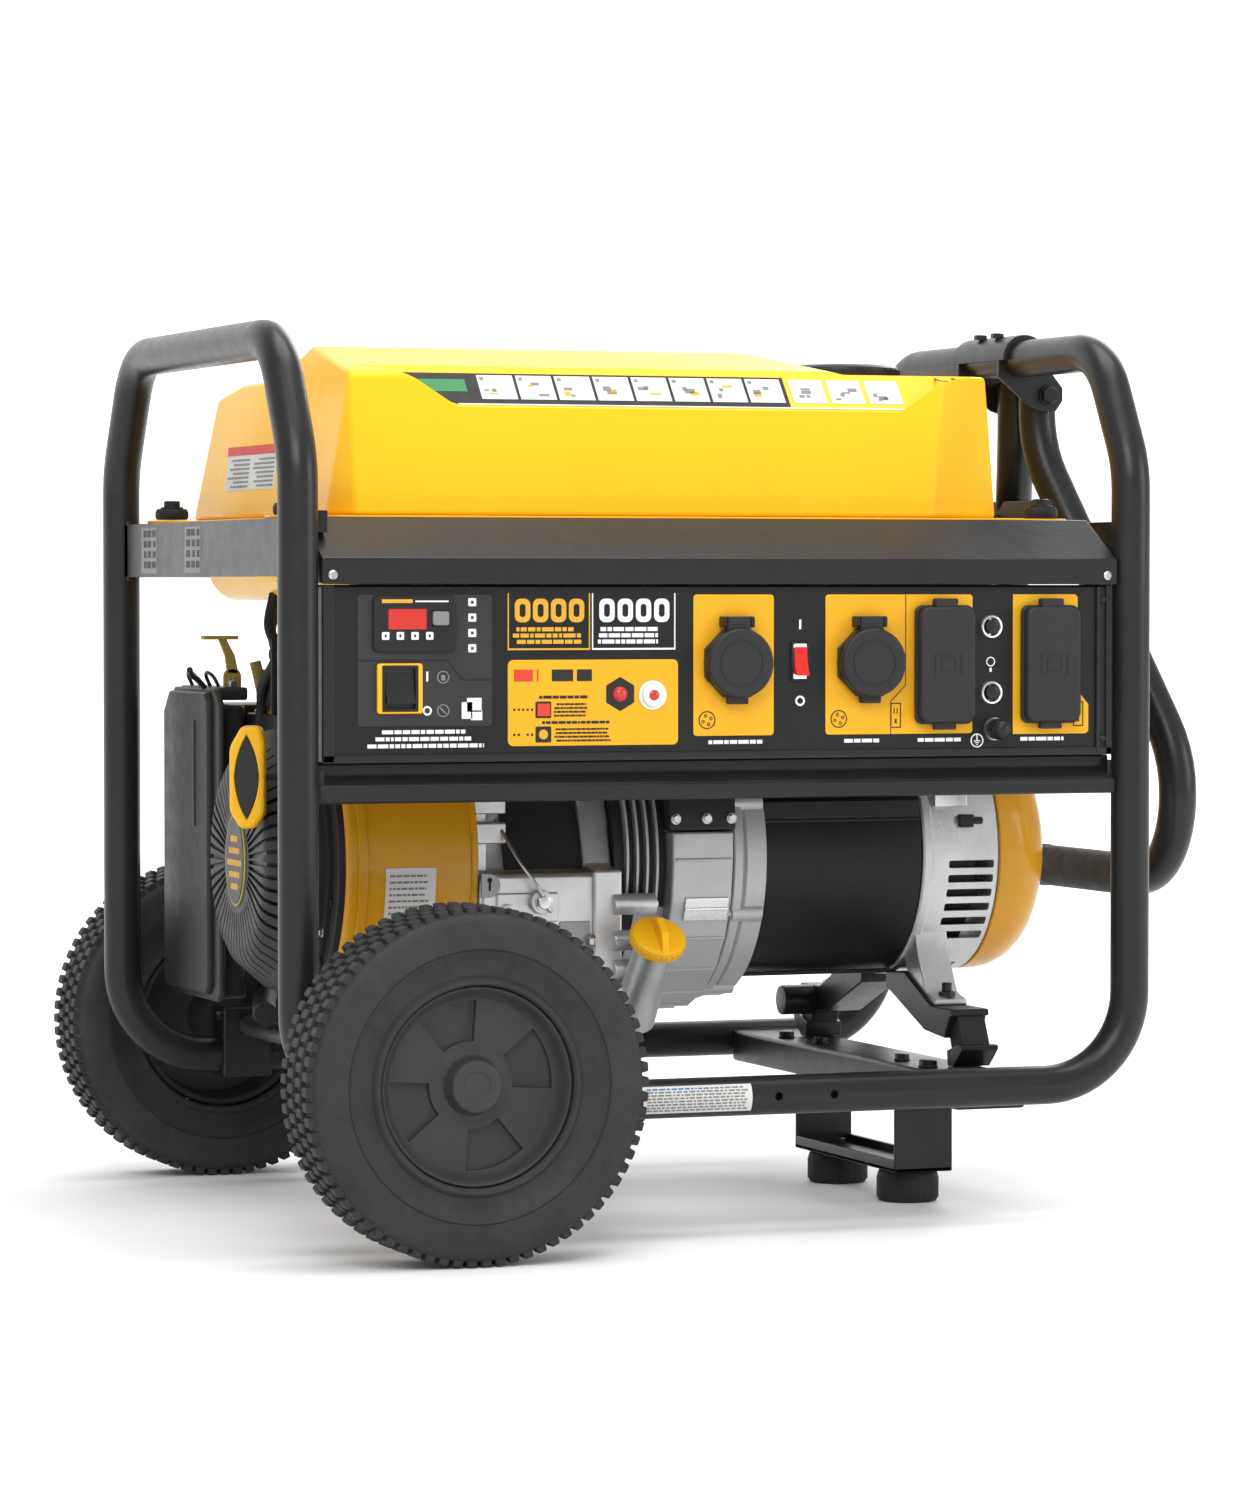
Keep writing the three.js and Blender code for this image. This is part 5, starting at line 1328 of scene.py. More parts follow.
def blower():
    build = Build().prism("X", blower_outline(0), -252, -149.8, 5, 3, 30)
    build.prism("X", blower_outline(-1.6), -243, -236, 1.4, 2, 30)
    build.prism("X", blower_outline(-1.6), -155.5, -149.8, 1.6, 2, 30)
    for a in (214, 250, 268, 286):
        build.box(-214, -160, 116.5, 119.4, -1.4, 1.4, 1, 2, matrix=about("X", SHAFT, math.radians(a)))
    build.piece("blower_shroud", "housing_yellow", replaces=["blower_housing"], smooth=35)
    ring = Build().prism("X", blower_outline(4), -257.7, -248, 2, 3, 30)
    ring.carve(Build().rod("X", SHAFT, 88, -262, -250, 64, 0))
    ring.turned("X", SHAFT, [(98, -257.9), (108, -257.9), (109.5, -256), (109.5, -247), (98, -247),
                             (98, -257.9)], 96)
    ring.piece("blower_intake_ring", "cover_black")
    bolts = Build()
    for a in (135, 195, 225, 315, 350, 60):
        bolts.bolt("X", polar(SHAFT, 104.5, a), -257.9, 3.4, -1, washer=False)
    bolts.piece("blower_bolts", "black_steel")


def curved_strip(build, centre, r0, r1, a0, a1, x0, x1, steps):
    """A thin strip that lies round a cylinder along X."""
    build.prism("X", arc(*centre, r1, a0, a1, steps) + arc(*centre, r0, a1, a0, steps), x0, x1, 0)


def blower_label():
    label = Build()
    curved_strip(label, SHAFT, 117.6, 118.5, 181, 205, -222, -183, 12)
    label.piece("blower_label", "label_white", smooth=60)
    marks = Build()
    rng = random.Random(5)
    for k in range(9):
        a = 183.4 + k * 2.3
        x = -219
        end = -186 - rng.uniform(0, 8)
        while x < end:
            w = rng.uniform(1.5, 5)
            curved_strip(marks, SHAFT, 118.2, 118.7, a, a + 0.8, x, min(x + w, end), 2)
            x += w + 0.9
    marks.piece("blower_label_print", "print_grey")


def control_linkage():
    """The small cables, clip and leaf between the air cleaner and the blower."""
    linkage = Build()
    linkage.box(-262, -246, 40, 44, 378, 436, 0.8)
    linkage.box(-256, -240, 58, 92, 384, 412, 2)
    linkage.rod("Y", (-250, 424), 9, 30, 60, 32, 1)
    linkage.sweep(soft_path([(-252, 66, 470), (-258, 60, 446), (-254, 52, 424), (-260, 70, 400),
                             (-256, 88, 380), (-262, 84, 352)], 8), 4.2, 16)
    linkage.sweep(soft_path([(-244, 84, 462), (-250, 80, 440), (-246, 76, 418), (-238, 80, 392)], 8),
                  3.4, 16)
    linkage.piece("control_linkage", "soft_black", smooth=50)
    leaf = Build()
    leaf.sweep(soft_path([(-258, 98, 418), (-254, 97, 400), (-251, 96, 382), (-253, 96, 362),
                          (-256, 96, 344)], 8), 4.6, 14, 0.35)
    leaf.piece("control_leaf", "dull_brass", smooth=50)


SLATS = 52


def recoil():
    """The starter's dome, slotted all round; the level slots are wider and start further in."""
    build = Build().turned("X", SHAFT, [
        (0, -302), (66, -302), (73, -301.2), (80, -297.5), (92, -283), (97.4, -276.6), (98.4, -272),
        (98.6, -262.4), (103, -261.4), (103, -258), (94, -258), (94, -272), (72, -296), (0, -296)], 128)
    cutter = Build()
    for k in range(SLATS):
        a = 2 * math.pi * k / SLATS
        start, half = (32, 1.6) if abs(math.sin(a)) > 0.8 else (40, 0.8)
        cutter.prism("Y", [(-306, start), (-299.4, start), (-299.4, 70), (-281, 86), (-288, 95),
                           (-306, 80)], -half, half, 0, matrix=about("X", SHAFT, a))
    build.carve(cutter)
    build.carve(Build().rod("X", (-70, 335), 3.5, -312, -253, 24, 0))
    build.piece("recoil_dome", "cover_black", replaces=["recoil_cover"], weighted=False)
    inside = Build().turned("X", SHAFT, [(0, -292), (70, -292), (90, -270), (90, -262), (0, -262)], 64)
    inside.piece("recoil_interior", "print_black")
    screws = Build()
    for k in range(3):
        screws.bolt("X", polar(SHAFT, 100.4, 90 + 120 * k), -261.4, 3.4, -1)
    screws.piece("recoil_bolts", "zinc_steel")


def recoil_badge():
    """An oval badge with plain bars."""
    def oval(half_y, half_z):
        turns = [2 * math.pi * k / 48 for k in range(48)]
        return [(half_y * math.cos(t), CRANK_Z + half_z * math.sin(t)) for t in turns]

    rim = Build().prism("X", oval(26, 35), -303.2, -301.5, 0.4)
    rim.piece("recoil_badge_rim", "dull_brass")
    face = Build().prism("X", oval(26 * 0.88, 35 * 0.94), -303.7, -303, 0.2)
    face.piece("recoil_badge_face", "device_black")
    marks = Build()
    rng = random.Random(9)
    for row in range(5):
        z = CRANK_Z - 22 + row * 9
        half = 18 - abs(row - 2) * 4.5
        y = -half
        while y < half:
            w = rng.uniform(1.5, 4)
            marks.box(-304, -303.5, y, min(y + w, half), z, z + 4.4, 0)
            y += w + 1
    marks.piece("recoil_badge_marks", "print_gold")


def pull_grip():
    """The starter's handle, its almond inlay turned towards the panel side."""
    x, y, z = -313.5, -70, 335
    place = Matrix.Translation((x, y, z)) @ Matrix.Rotation(math.radians(-24), 4, "Z")
    outline = [(-5, -38), (6, -38), (13, -27), (13, 26), (10, 38), (-4, 38), (-13, 22), (-13, -25)]
    build = Build().prism("Y", outline, -9, 9, 3.6, 4, matrix=place)
    almond = [(9.0 * (1 - (k / 10 - 1) ** 2), 32.0 * (k / 10 - 1)) for k in range(21)]
    almond += [(-u, -v) for u, v in almond[1:-1]]
    for near, far in ((-12, -6.6), (6.6, 12)):
        build.carve(Build().prism("Y", almond, near, far, 0, matrix=place))
    build.round_edges(0.5, 2, 50)
    build.piece("pull_grip_moulding", "moulded_yellow", "starter_grip", replaces=["pull_grip"])
    small = [(u * 0.97, v * 0.97) for u, v in almond]
    inlay = Build().prism("Y", small, -8.2, 8.2, 0.8, matrix=place)
    inlay.piece("pull_grip_inlay", "cover_black", "starter_grip")
    rope = Build().rod("X", (y, z), 2.5, -306, -263, 20, 0.3)
    rope.piece("pull_rope", "soft_black", "starter_grip")


FLANGE_BOLT_Z = (171, 189, 211)


def slanted(w, v):
    """A point beside the cylinder's axis, which leans 25 degrees back from level."""
    tilt = math.radians(25)
    y = w * math.cos(tilt) - v * math.sin(tilt)
    return (y, CRANK_Z + w * math.sin(tilt) + v * math.cos(tilt))


def crankcase():
    """The casting with a flanged edge, its bolt bosses, webs and a raised panel on the near side."""
    outline = [(-120, 164), (106, 164), (106, 240), slanted(90, -60), slanted(90, 60), (-20, 372),
               (-66, 345), (-84, 300), (-96, 262), (-120, 262)]
    build = Build().prism("X", outline, -149.5, -38, 4, 3)
    rim = [(-124, 158), (108, 158), (110, 236), slanted(90, -62), slanted(90, 62), (-22, 378),
           (-72, 350), (-92, 300), (-101, 266), (-124, 264)]
    build.prism("X", rim, -61, -38, 2.5, 3)
    for z in FLANGE_BOLT_Z:
        build.rod("X", (-122, z), 8, -46, -24, 32, 1.2)
    build.rod("X", (-122, 238), 8, -46, -12, 32, 1.2)
    build.box(-128, -60, -122.6, -119, 194.8, 197.2, 1.0, 2)
    build.box(-137, -88, -122, -119, 226, 248, 1.4, 3)
    build.rod("Y", (-103, 241), 9, -128, -112, 36, 1.5)
    build.rod("Y", (-129, 234), 6, -125, -112, 32, 1.2)
    for x in (-140, -112, -84):
        build.box(x - 1.4, x + 1.4, -121.5, -119, 168, 192, 1, 2)
    build.piece("crankcase_casting", "cast_alloy", replaces=["crankcase"], smooth=35)


def crankcase_bolts():
    bolts = Build()
    for z in FLANGE_BOLT_Z:
        bolts.bolt("X", (-124.5, z), -61, 4.6, -1)
        bolts.bolt("X", (-122, z), -24, 3.4, 1, washer=False)
    bolts.bolt("X", (-122, 238), -12, 3.4, 1, washer=False)
    bolts.bolt("Y", (-103, 241), -128, 5.4, -1)
    bolts.bolt("Y", (-129, 234), -125, 3.6, -1, washer=False)
    bolts.piece("crankcase_bolts", "zinc_steel")
    drain = Build().bolt("Y", (-52, 178), -120, 7, -1)
    drain.piece("oil_drain_plug", "zinc_steel")


def crankcase_fittings():
    """The filler neck, a hooked wire, a slotted tab, a dark plate of painted shade over the sloping deck,
    and three blocks.
    """
    neck = Build().turned("Z", (0, 0), [(0, -26), (18, -26), (17, -6), (15.4, -1), (15, 50), (15, 52),
                                        (11.4, 52), (11.4, 14), (0, 14)], 48, filler_matrix())
    neck.piece("oil_filler_neck", "cast_alloy")
    hook = Build()
    hook.sweep(soft_path([(-130, -98, 302), (-125, -112, 286), (-119, -123, 271), (-111, -129, 258),
                          (-104, -131, 246), (-100, -131, 237), (-97, -131, 234)], 8), 1.4, 12)
    hook.piece("crankcase_wire", "zinc_steel", smooth=60)
    # The tab and the small plate beside it use the darker cast_shaded copy of the alloy: painted shade.
    tab = Build()
    tab.prism("Y", arc(-143, 254, 9, -90, 90, 10) + [(-149.3, 263), (-149.3, 245)], -122.5, -120.2, 0.5)
    tab.box(-87, -63, -121.4, -119.6, 207, 226, 0.6)
    tab.piece("crankcase_tab", "cast_shaded")
    slot = Build().box(-143.6, -141.8, -122.9, -122.3, 250, 258, 0.2)
    slot.rod("Y", (-142.7, 258), 1.9, -122.9, -122.3, 20, 0.1)
    slot.piece("crankcase_tab_slot", "print_black")
    # A thin black plate laid on the crankcase's sloping deck: painted shade that darkens the deck where it
    # lies in shadow.
    deck = [(-98, 266), (-86.4, 300), (-67.6, 346), (-20, 374)]
    cover = Build().prism("X", deck + [(y + 3, z - 3) for y, z in reversed(deck)], -122, -40, 0.8)
    cover.piece("crankcase_deck_painted_shade", "cover_black")
    bosses = Build().box(-149, -124, -106, -84, 284, 300, 1.6, 3)
    bosses.box(-149, -122, -100, -80, 306, 345, 1.6, 3)
    bosses.box(-148, -136, -96, -70, 262, 350, 1.6, 3)
    bosses.piece("crankcase_bosses", "cast_alloy")


FILLER = (-26, -128, 172, 42)


def filler_matrix():
    x, y, z, lean = FILLER
    return Matrix.Translation((x, y, z)) @ Matrix.Rotation(math.radians(lean), 4, "X")


def dipstick():
    place = filler_matrix()
    build = Build()
    build.turned("Z", (0, 0), [
        (0, 14), (2, 14), (2, 40), (10.6, 40), (10.6, 52.3), (19.5, 52.3), (21, 53.4), (21, 58),
        (20, 60.6), (17, 62), (0, 62.6)], 64, place)
    build.prism("Y", [(-20, 60.4), (20, 60.4), (17, 64), (8, 72), (-8, 72), (-17, 64)], -3, 3, 1.2, 3,
                matrix=place @ Matrix.Rotation(math.radians(90), 4, "Z"))
    for k in range(30):
        turn = place @ Matrix.Rotation(k * math.pi / 15, 4, "Z")
        build.box(20.3, 21.5, -0.9, 0.9, 53.6, 59, 0.4, 1, matrix=turn)
    build.piece("dipstick_cap", "moulded_yellow", "oil_dipstick", replaces=["dipstick"])


def cylinder():
    tilt = math.radians(25)
    place = Matrix.Translation((-85.75, 0, CRANK_Z)) @ Matrix.Rotation(tilt, 4, "X")
    build = Build()
    build.box(-44, 44, 90.3, 172, -44, 44, 3, 3, matrix=place)
    for k in range(9):
        w = 98 + k * 8
        build.box(-58, 58, w, w + 2.6, -58, 58, 1.0, 2, matrix=place)
    build.box(-60, 60, 170, 190, -56, 56, 3, 3, matrix=place)
    for k in range(7):
        x = -54 + k * 18
        build.box(x - 1.3, x + 1.3, 186, 200, -54, 54, 1.0, 2, matrix=place)
    build.box(-46, 46, 188, 214, -42, 42, 2, 3, matrix=place)
    build.piece("cylinder_and_head", "cast_alloy", replaces=["cylinder"], smooth=35)
    cover = Build().box(-47, 47, 211, 222, -43, 43, 5, 4, matrix=place)
    for k in range(5):
        x = -32 + k * 16
        cover.box(x - 2, x + 2, 219, 223.4, -30, 30, 1.2, 2, matrix=place)
    cover.piece("rocker_cover", "black_steel")
    bolts = Build()
    for x in (-40, 40):
        for v in (-36, 36):
            bolts.rod("Y", (x, v), 4.2, 220, 226, 6, 0.3, matrix=place)
    bolts.piece("rocker_cover_bolts", "zinc_steel")
    plug = Build()
    plug.rod("Y", (20, 30), 8, 186, 206, 32, 1.5, matrix=place @ Matrix.Rotation(0.35, 4, "X"))
    plug.rod("Y", (20, 30), 10.5, 204, 232, 32, 3, matrix=place @ Matrix.Rotation(0.35, 4, "X"))
    plug.piece("spark_plug_boot", "soft_black")
    lead = Build().sweep(soft_path([(-66, 120, 447), (-70, 100, 452), (-84, 60, 444), (-100, 20, 420),
                                    (-118, -10, 390), (-126, -20, 378)], 8), 3.6, 16)
    lead.piece("spark_plug_lead", "soft_black", smooth=60)


def muffler():
    build = Build().prism("X", rounded(122, 222, 318, 432, 22, 8), 4, 190, 3, 3, 30)
    for x in (10, 184):
        build.prism("X", rounded(120.5, 223.5, 316.5, 433.5, 23, 8), x - 2, x + 2, 0.8)
    build.rod("X", (175, 358), 15, -25.4, 8, 40, 1.5)
    build.turned("X", (175, 358), [(14, -25.4), (24, -25.4), (24, -20), (14, -20), (14, -25.4)], 40)
    build.turned("X", (188, 398), [(9, 184), (12, 184), (12, 218), (9, 218), (9, 184)], 40)
    build.piece("muffler_can", "muffler_steel", replaces=["muffler"], smooth=35)
    shield = Build().prism("X", rounded(224.4, 226, 330, 422, 0.6), 22, 172, 0)
    holes = Build()
    for col in range(12):
        for row in range(4):
            x = 34 + col * 11.4
            z = 345 + row * 19
            holes.prism("Y", rounded(x, x + 4.6, z, z + 13, 2.2, 4), 215, 235, 0)
    shield.carve(holes)
    shield.piece("muffler_guard", "black_steel")
    clips = Build()
    for x in (30, 164):
        for z in (336, 416):
            clips.bolt("Y", (x, z), 226, 4, 1)
            clips.rod("Y", (x, z), 3, 219, 226, 20, 0.3)
    clips.piece("muffler_guard_bolts", "zinc_steel")


def air_cleaner():
    build = Build()
    build.prism("Z", rounded(-288, -262, 106, 230, 8, 6), 157, 384, 2.5, 3)
    build.prism("X", [(91, 163), (99, 155), (228, 155), (236, 163), (236, 380), (219, 397), (104, 397),
                      (91, 384)], -289, -284, 2, 3)
    build.prism("X", [(108, 168), (116, 160), (226, 160), (233, 168), (233, 378), (217, 394), (116, 394),
                      (108, 386)], -294, -287, 2.6, 3)
    build.box(-264, -205, 140, 228, 190, 384, 5, 3)
    build.prism("X", rounded(104, 218, 388, 398, 3), -284, -262, 1.2)
    for z in (215, 250, 285, 320, 355):
        build.box(-262, -207, 226, 229.4, z - 1.4, z + 1.4, 1)
    build.piece("air_cleaner_case", "cover_black", replaces=["air_cleaner"])
    clips = Build()
    for y in (141, 192):
        clips.sweep(soft_path([(-278, y - 12, 398), (-282, y - 10, 406), (-284, y, 409),
                               (-282, y + 10, 406), (-278, y + 12, 398)], 8), 1.5, 12)
    clips.sweep(soft_path([(-292, 122, 398), (-299, 116, 404), (-306, 108, 408), (-309, 103, 412)], 8),
                2.4, 12)
    clips.piece("air_cleaner_clips", "black_steel", smooth=60)
    badge = Build().box(-295.2, -293.4, 141, 147, 290, 372, 0.4)
    badge.piece("air_cleaner_latch", "plate_grey")
    duct = Build().sweep(soft_path([(-232, 150, 192), (-236, 132, 172), (-250, 100, 158), (-262, 62, 150),
                                    (-270, 30, 150)], 8), 9, 24)
    duct.piece("breather_hose", "soft_black", smooth=60)


def carburettor():
    build = Build()
    build.box(-204.7, -198, 146, 210, 326, 380, 2, 3)
    build.box(-198, -150.5, 156, 200, 334, 372, 4, 3)
    build.rod("Z", (-176, 178), 22, 302, 338, 48, 2)
    build.rod("Z", (-176, 178), 7, 297, 304, 24, 1)
    build.rod("X", (178, 352), 17, -152, -146.2, 40, 0.8)
    build.rod("Z", (-186, 178), 5, 372, 384, 24, 0.8)
    build.rod("Z", (-166, 178), 4, 372, 388, 24, 0.8)
    build.piece("carburettor_body", "cast_alloy", replaces=["carburettor"])
    hose = Build().sweep(soft_path([(-160, 205, 340), (-150, 226, 350), (-146, 232, 380), (-150, 226, 420),
                                    (-156, 200, 452), (-158, 190, 468)], 8), 5, 20)
    hose.piece("fuel_hose", "soft_black", smooth=60)
    spring = Build()
    turns = 9
    coil = []
    for k in range(turns * 16 + 1):
        t = k / 16
        a = 2 * math.pi * t
        coil.append(((-190 + t * 5.4, 160 + 3 * math.cos(a), 392 + 3 * math.sin(a))))
    spring.sweep(soft_path(coil[::2], 2), 0.6, 8)
    spring.box(-198, -192, 150, 168, 384, 404, 0.6)
    spring.box(-142, -139, 150, 166, 376, 400, 0.6)
    spring.piece("governor_spring", "zinc_steel", smooth=60)


def choke():
    lever = (-270, 120, 400.3)
    x, y, z = lever
    build = Build()
    build.prism("Y", rounded(x - 7, x + 7, z - 8, z + 12, 6, 6), y - 1.6, y + 1.6, 0.5)
    build.prism("Y", [(x - 4, z + 8), (x + 5, z + 8), (x + 2, z + 22), (x - 6, z + 37), (x - 12, z + 37),
                      (x - 6, z + 22)], y - 1.6, y + 1.6, 0.5)
    build.box(x - 24, x + 4, y - 5, y + 5, z + 34.5, z + 37.5, 0.8)
    build.piece("choke_arm", "dull_brass", "choke", replaces=["choke_lever"])
    pivot = Build().bolt("Y", (x, z), y - 1.8, 4, -1)
    pivot.piece("choke_pivot_bolt", "zinc_steel", "choke")


# ---------------------------------------------------------------- alternator
COUPLING_BOLTS = [22.5 + 45 * k for k in range(8)]


def coupling():
    """The shield round the joint of the two machines, with its flange, bosses and cooling ribs."""
    build = Build()
    build.prism("X", arc(*SHAFT, 120, 180, 360, 12) + [(120, 291), (-120, 291)], 4, 53, 2, 3, 8)
    for k in (0, 2, 3, 4, 5, 6, 7, 8, 9, 10, 11, 12):
        turn = about("X", SHAFT, math.radians(180 + k * 15))
        build.box(6, 51, 117, 121.4, -1.2, 1.2, 0.9, 2, matrix=turn)
    build.turned("X", SHAFT, [(20, -37.5), (98, -37.5), (102, -34), (103, -28), (103, 20), (20, 20),
                              (20, -37.5)], 72)
    build.turned("X", SHAFT, [(80, 56), (113, 56), (114, 57), (114, 63), (110, 66), (112, 67.5), (112, 83),
                              (100, 83), (98, 60), (80, 58), (80, 56)], 96)
    for a in COUPLING_BOLTS:
        build.rod("X", polar(SHAFT, 109, a), 7, 57, 82, 28, 1)
    for x in (-30, -22, -14, -6):
        build.prism("X", arc(*SHAFT, 111, 118, 200, 20) + arc(*SHAFT, 101, 200, 118, 20), x, x + 2.2, 0.5)
    build.prism("X", arc(*SHAFT, 106, 200, 340, 24) + arc(*SHAFT, 98, 340, 200, 24), -20, 16, 1)
    build.piece("coupling_casting", "housing_grey", replaces=["coupling_housing"], smooth=30)
    bolts = Build()
    for a in COUPLING_BOLTS:
        bolts.bolt("X", polar(SHAFT, 109, a), 57, 4, -1)
    for x in (7, 32, 52):
        bolts.bolt("Y", (x, 301), -117.6, 3.6, -1)
    bolts.piece("coupling_bolts", "zinc_steel")


def coupling_fittings():
    """The dark rings, which are painted shade in the gaps round the joint, the upper shield, and a small
    louvre.
    """
    # The two black rings stand for the shadow in the gaps round the joint: painted shade. The upper shield
    # is built in the same black piece.
    dark = Build().turned("X", SHAFT, wall(90, 105, -37.6, 3.6), 72)
    upper = [(-118, 292), (118, 292), (116, 323), (100, 366), (-100, 366), (-116, 323)]
    dark.prism("X", upper, 2, 56, 2)
    dark.turned("X", SHAFT, wall(90, 109, 50, 58), 72)
    dark.piece("coupling_painted_shade_and_shield", "cover_black", smooth=30)
    turn = about("X", SHAFT, math.radians(198))
    louvre = Build().box(15, 50, 118.6, 121.8, -9, 9, 0.6, matrix=turn)
    louvre.box(15, 50, 121.4, 122.8, -1.4, 1.4, 0.6, matrix=turn)
    louvre.piece("coupling_louvre", "cut_alloy")


STUDS = [polar(SHAFT, 100, a) for a in (35, 145, 325)]


def stator():
    build = Build().turned("X", SHAFT, [(64, 83.3), (95.6, 83.3), (97, 84.6), (97, 217.4), (95.6, 218.7),
                                        (64, 218.7), (64, 83.3)], 128)
    build.box(85, 217, -95.6, -92.4, 295.8, 298.4, 0.8, 2)
    build.box(85, 217, -94.6, -91.6, 298, 312, 0.9, 2)
    build.box(85, 217, -44, -36, 175.4, 178.2, 0.8, 2)
    build.box(85, 217, 36, 44, 175.4, 178.2, 0.8, 2)
    build.piece("stator_wrap", "wrap_black", replaces=["alternator_shell"], smooth=35)
    studs = Build()
    for at in STUDS:
        studs.rod("X", at, 3.2, 70, 286, 20, 0.4)
        studs.bolt("X", at, 286, 4.4, 1)
    studs.piece("stator_studs", "zinc_steel")


def end_bracket():
    """A cup with six air slots on each side, two feet and the stud bosses."""
    bracket = Build().turned("X", SHAFT, [
        (89, 219), (97.4, 219), (98.6, 220.4), (98.6, 226), (97, 228), (96.4, 282), (94.6, 284),
        (19, 284), (19, 270), (87, 270), (89, 219)], 128)
    slots = Build()
    for k in range(6):
        z = CRANK_Z - 8.5 - k * 11.2
        slots.prism("Y", pad(260, z, 19, 3, 1.4, 3), -120, -50, 0)
        slots.prism("Y", pad(260, z, 19, 3, 1.4, 3), 50, 120, 0)
    slots.box(248, 272, -40, 40, 150, 190, 0)
    bracket.carve(slots)
    bracket.round_edges(0.8, 2, 50, keep=lambda e: all(v.co.x > 236 for v in e.verts))
    foot = [(50, 192), (74, 210), (80, 190), (96, 163), (114, 158.4), (114, 154.3), (80, 154.3),
            (60, 176)]
    for s in SIDES:
        bracket.prism("X", mirrored(s, foot), 222, 249, 1.4, 3)
    for at in STUDS:
        bracket.rod("X", at, 8.5, 221, 286, 36, 1.2)
    bracket.piece("end_bracket_casting", "cast_alloy", replaces=["end_bracket"], smooth=35)


def end_bracket_fittings():
    inside = Build().turned("X", SHAFT, wall(84, 86, 232, 268), 64)
    inside.piece("end_bracket_lining", "print_black")
    plug = Build().box(250, 262, -97.5, -88, 290, 300, 1.2)
    plug.rod("X", (-93, 295), 3, 262, 270, 20, 0.5)
    plug.piece("brush_connector", "device_black")
    tag = Build().box(231, 258, -92.5, -86, 306, 318, 1, 3)
    tag.piece("end_bracket_pad", "cut_alloy")


def end_cap():
    """A domed cap with a ring of radial vents."""
    cap = Build().turned("X", SHAFT, [
        (95, 284.3), (96, 285.4), (95.6, 300), (94, 308), (90, 317), (83, 325), (74, 330.6), (62, 333.4),
        (52, 334), (0, 334), (0, 330), (60, 329), (90, 312), (91, 284.3)], 128)
    vents = Build()
    for k in range(24):
        vents.box(326, 340, 22, 46, -1.8, 1.8, 0, matrix=about("X", SHAFT, k * math.pi / 12))
    cap.carve(vents)
    cap.piece("alternator_end_cap", "housing_yellow", replaces=["end_cap"], weighted=False)
    screws = Build()
    for k in range(3):
        screws.bolt("X", polar(SHAFT, 58, 90 + 120 * k), 333.2, 3.6, 1, washer=False)
    screws.piece("end_cap_screws", "black_steel")


def shaft():
    at = (0, CRANK_Z)
    build = Build().turned("X", at, [
        (0, -250), (15, -250), (15, -240), (90, -240), (96, -236), (96, -208), (92, -205), (40, -200),
        (15, -198), (15, -118), (46, -118), (46, -96), (18, -96), (18, -76), (46, -76), (46, -54),
        (15, -54), (15, 20), (84, 20), (84, 24), (30, 26), (26, 44), (15, 46), (15, 92), (60, 92),
        (62, 94), (62, 210), (60, 212), (15, 214), (15, 300), (22, 300), (22, 318), (0, 318)], 96)
    for k in range(16):
        turn = about("X", SHAFT, k * math.pi / 8)
        build.box(22, 43, 34, 82, -1.2, 1.2, 0.5, 1, matrix=turn)
    build.piece("shaft_and_rotor", "zinc_steel", "rotating_shaft", replaces=["crankshaft_rotor"],
                weighted=False)


def isolators():
    """Tilted rubber mounts, each a block between a steel arm and a steel shoe."""
    arm = [(24, 163), (24, 175), (60, 177), (98, 160), (112, 154), (151, 154), (152, 149), (147, 148),
           (137, 131), (98, 134.5)]
    rubber = [(150, 149.5), (161, 127), (140, 120), (135, 131.5)]
    shoe = [(168, 127.5), (168, 124), (152, 110.3), (141, 110.3), (139, 122), (160, 128)]
    for name, node, side in (("front_isolator", "front_mount", -1), ("rear_isolator", "rear_mount", 1)):
        block = Build().prism("X", mirrored(side, rubber), 224, 247, 1.6, 3)
        block.piece(name, "soft_black", replaces=[node])
        steel = Build()
        steel.prism("X", mirrored(side, arm), 219, 250, 1.2, 3)
        steel.prism("X", mirrored(side, shoe), 220, 250.5, 0.9, 3)
        if side > 0:
            steel.rod("X", (128, 142), 12, 192, 222, 40, 2)
        steel.bolt("Z", (236, side * 104), 158.3, 6.5)
        steel.rod("Z", (236, side * 104), 4, 160, 171, 20, 0.6)
        steel.bolt("Z", (204, side * 144), MEMBER_TOP, 5.6)
        steel.piece(name + "_fasteners", "black_steel")


# ---------------------------------------------------------------- folding handle
PIVOT = (350.0, 626.0)


def handle():
    knee, hip, top = 585, 345, 638
    corners = [(350, -20, top), (350, -20, knee), (405, -160, hip), (405, -160, 250), (405, 160, 250),
               (405, 160, hip), (350, 20, knee), (350, 20, top)]
    stations = bent_path(corners, [100, 100, 65, 65, 100, 100])
    build = Build().sweep(stations, TUBE_R, 40)
    build.piece("handle_tube", "powder_coat", "fold_handle", replaces=["handle"], weighted=False)
    drop = (knee - 528) / (knee - hip)
    x = 350 + drop * 55 - TUBE_R
    y = 20 + drop * 140 + 8
    outline = [(-y - 2, 512), (y + 2, 512), (y - 6, 544), (-y + 6, 544)]
    tie = Build().prism("X", outline, x - 2.4, x + 2.4, 1)
    tie.box(x - 1, x + 9, -y + 6, y - 6, 540, 544, 1)
    tie.piece("handle_tie_plate", "powder_coat", "fold_handle")
    bolts = Build()
    for s in SIDES:
        bolts.bolt("X", (s * (y - 14), 528), x - 2.4, 5, -1)
    bolts.piece("handle_tie_bolts", "black_steel", "fold_handle")
    grip = Build()
    half = [(15, 84), (16.4, 84), (17, 83), (17, 78), (16.4, 77), (16.4, 0)]
    profile = [(r, -t) for r, t in half] + [(r, t) for r, t in reversed(half[:-1])] + [(15, -84)]
    grip.turned("Y", (405, 250), profile, 48)
    grip.piece("handle_grip_sleeve", "soft_black", "fold_handle", replaces=["handle_grip"])


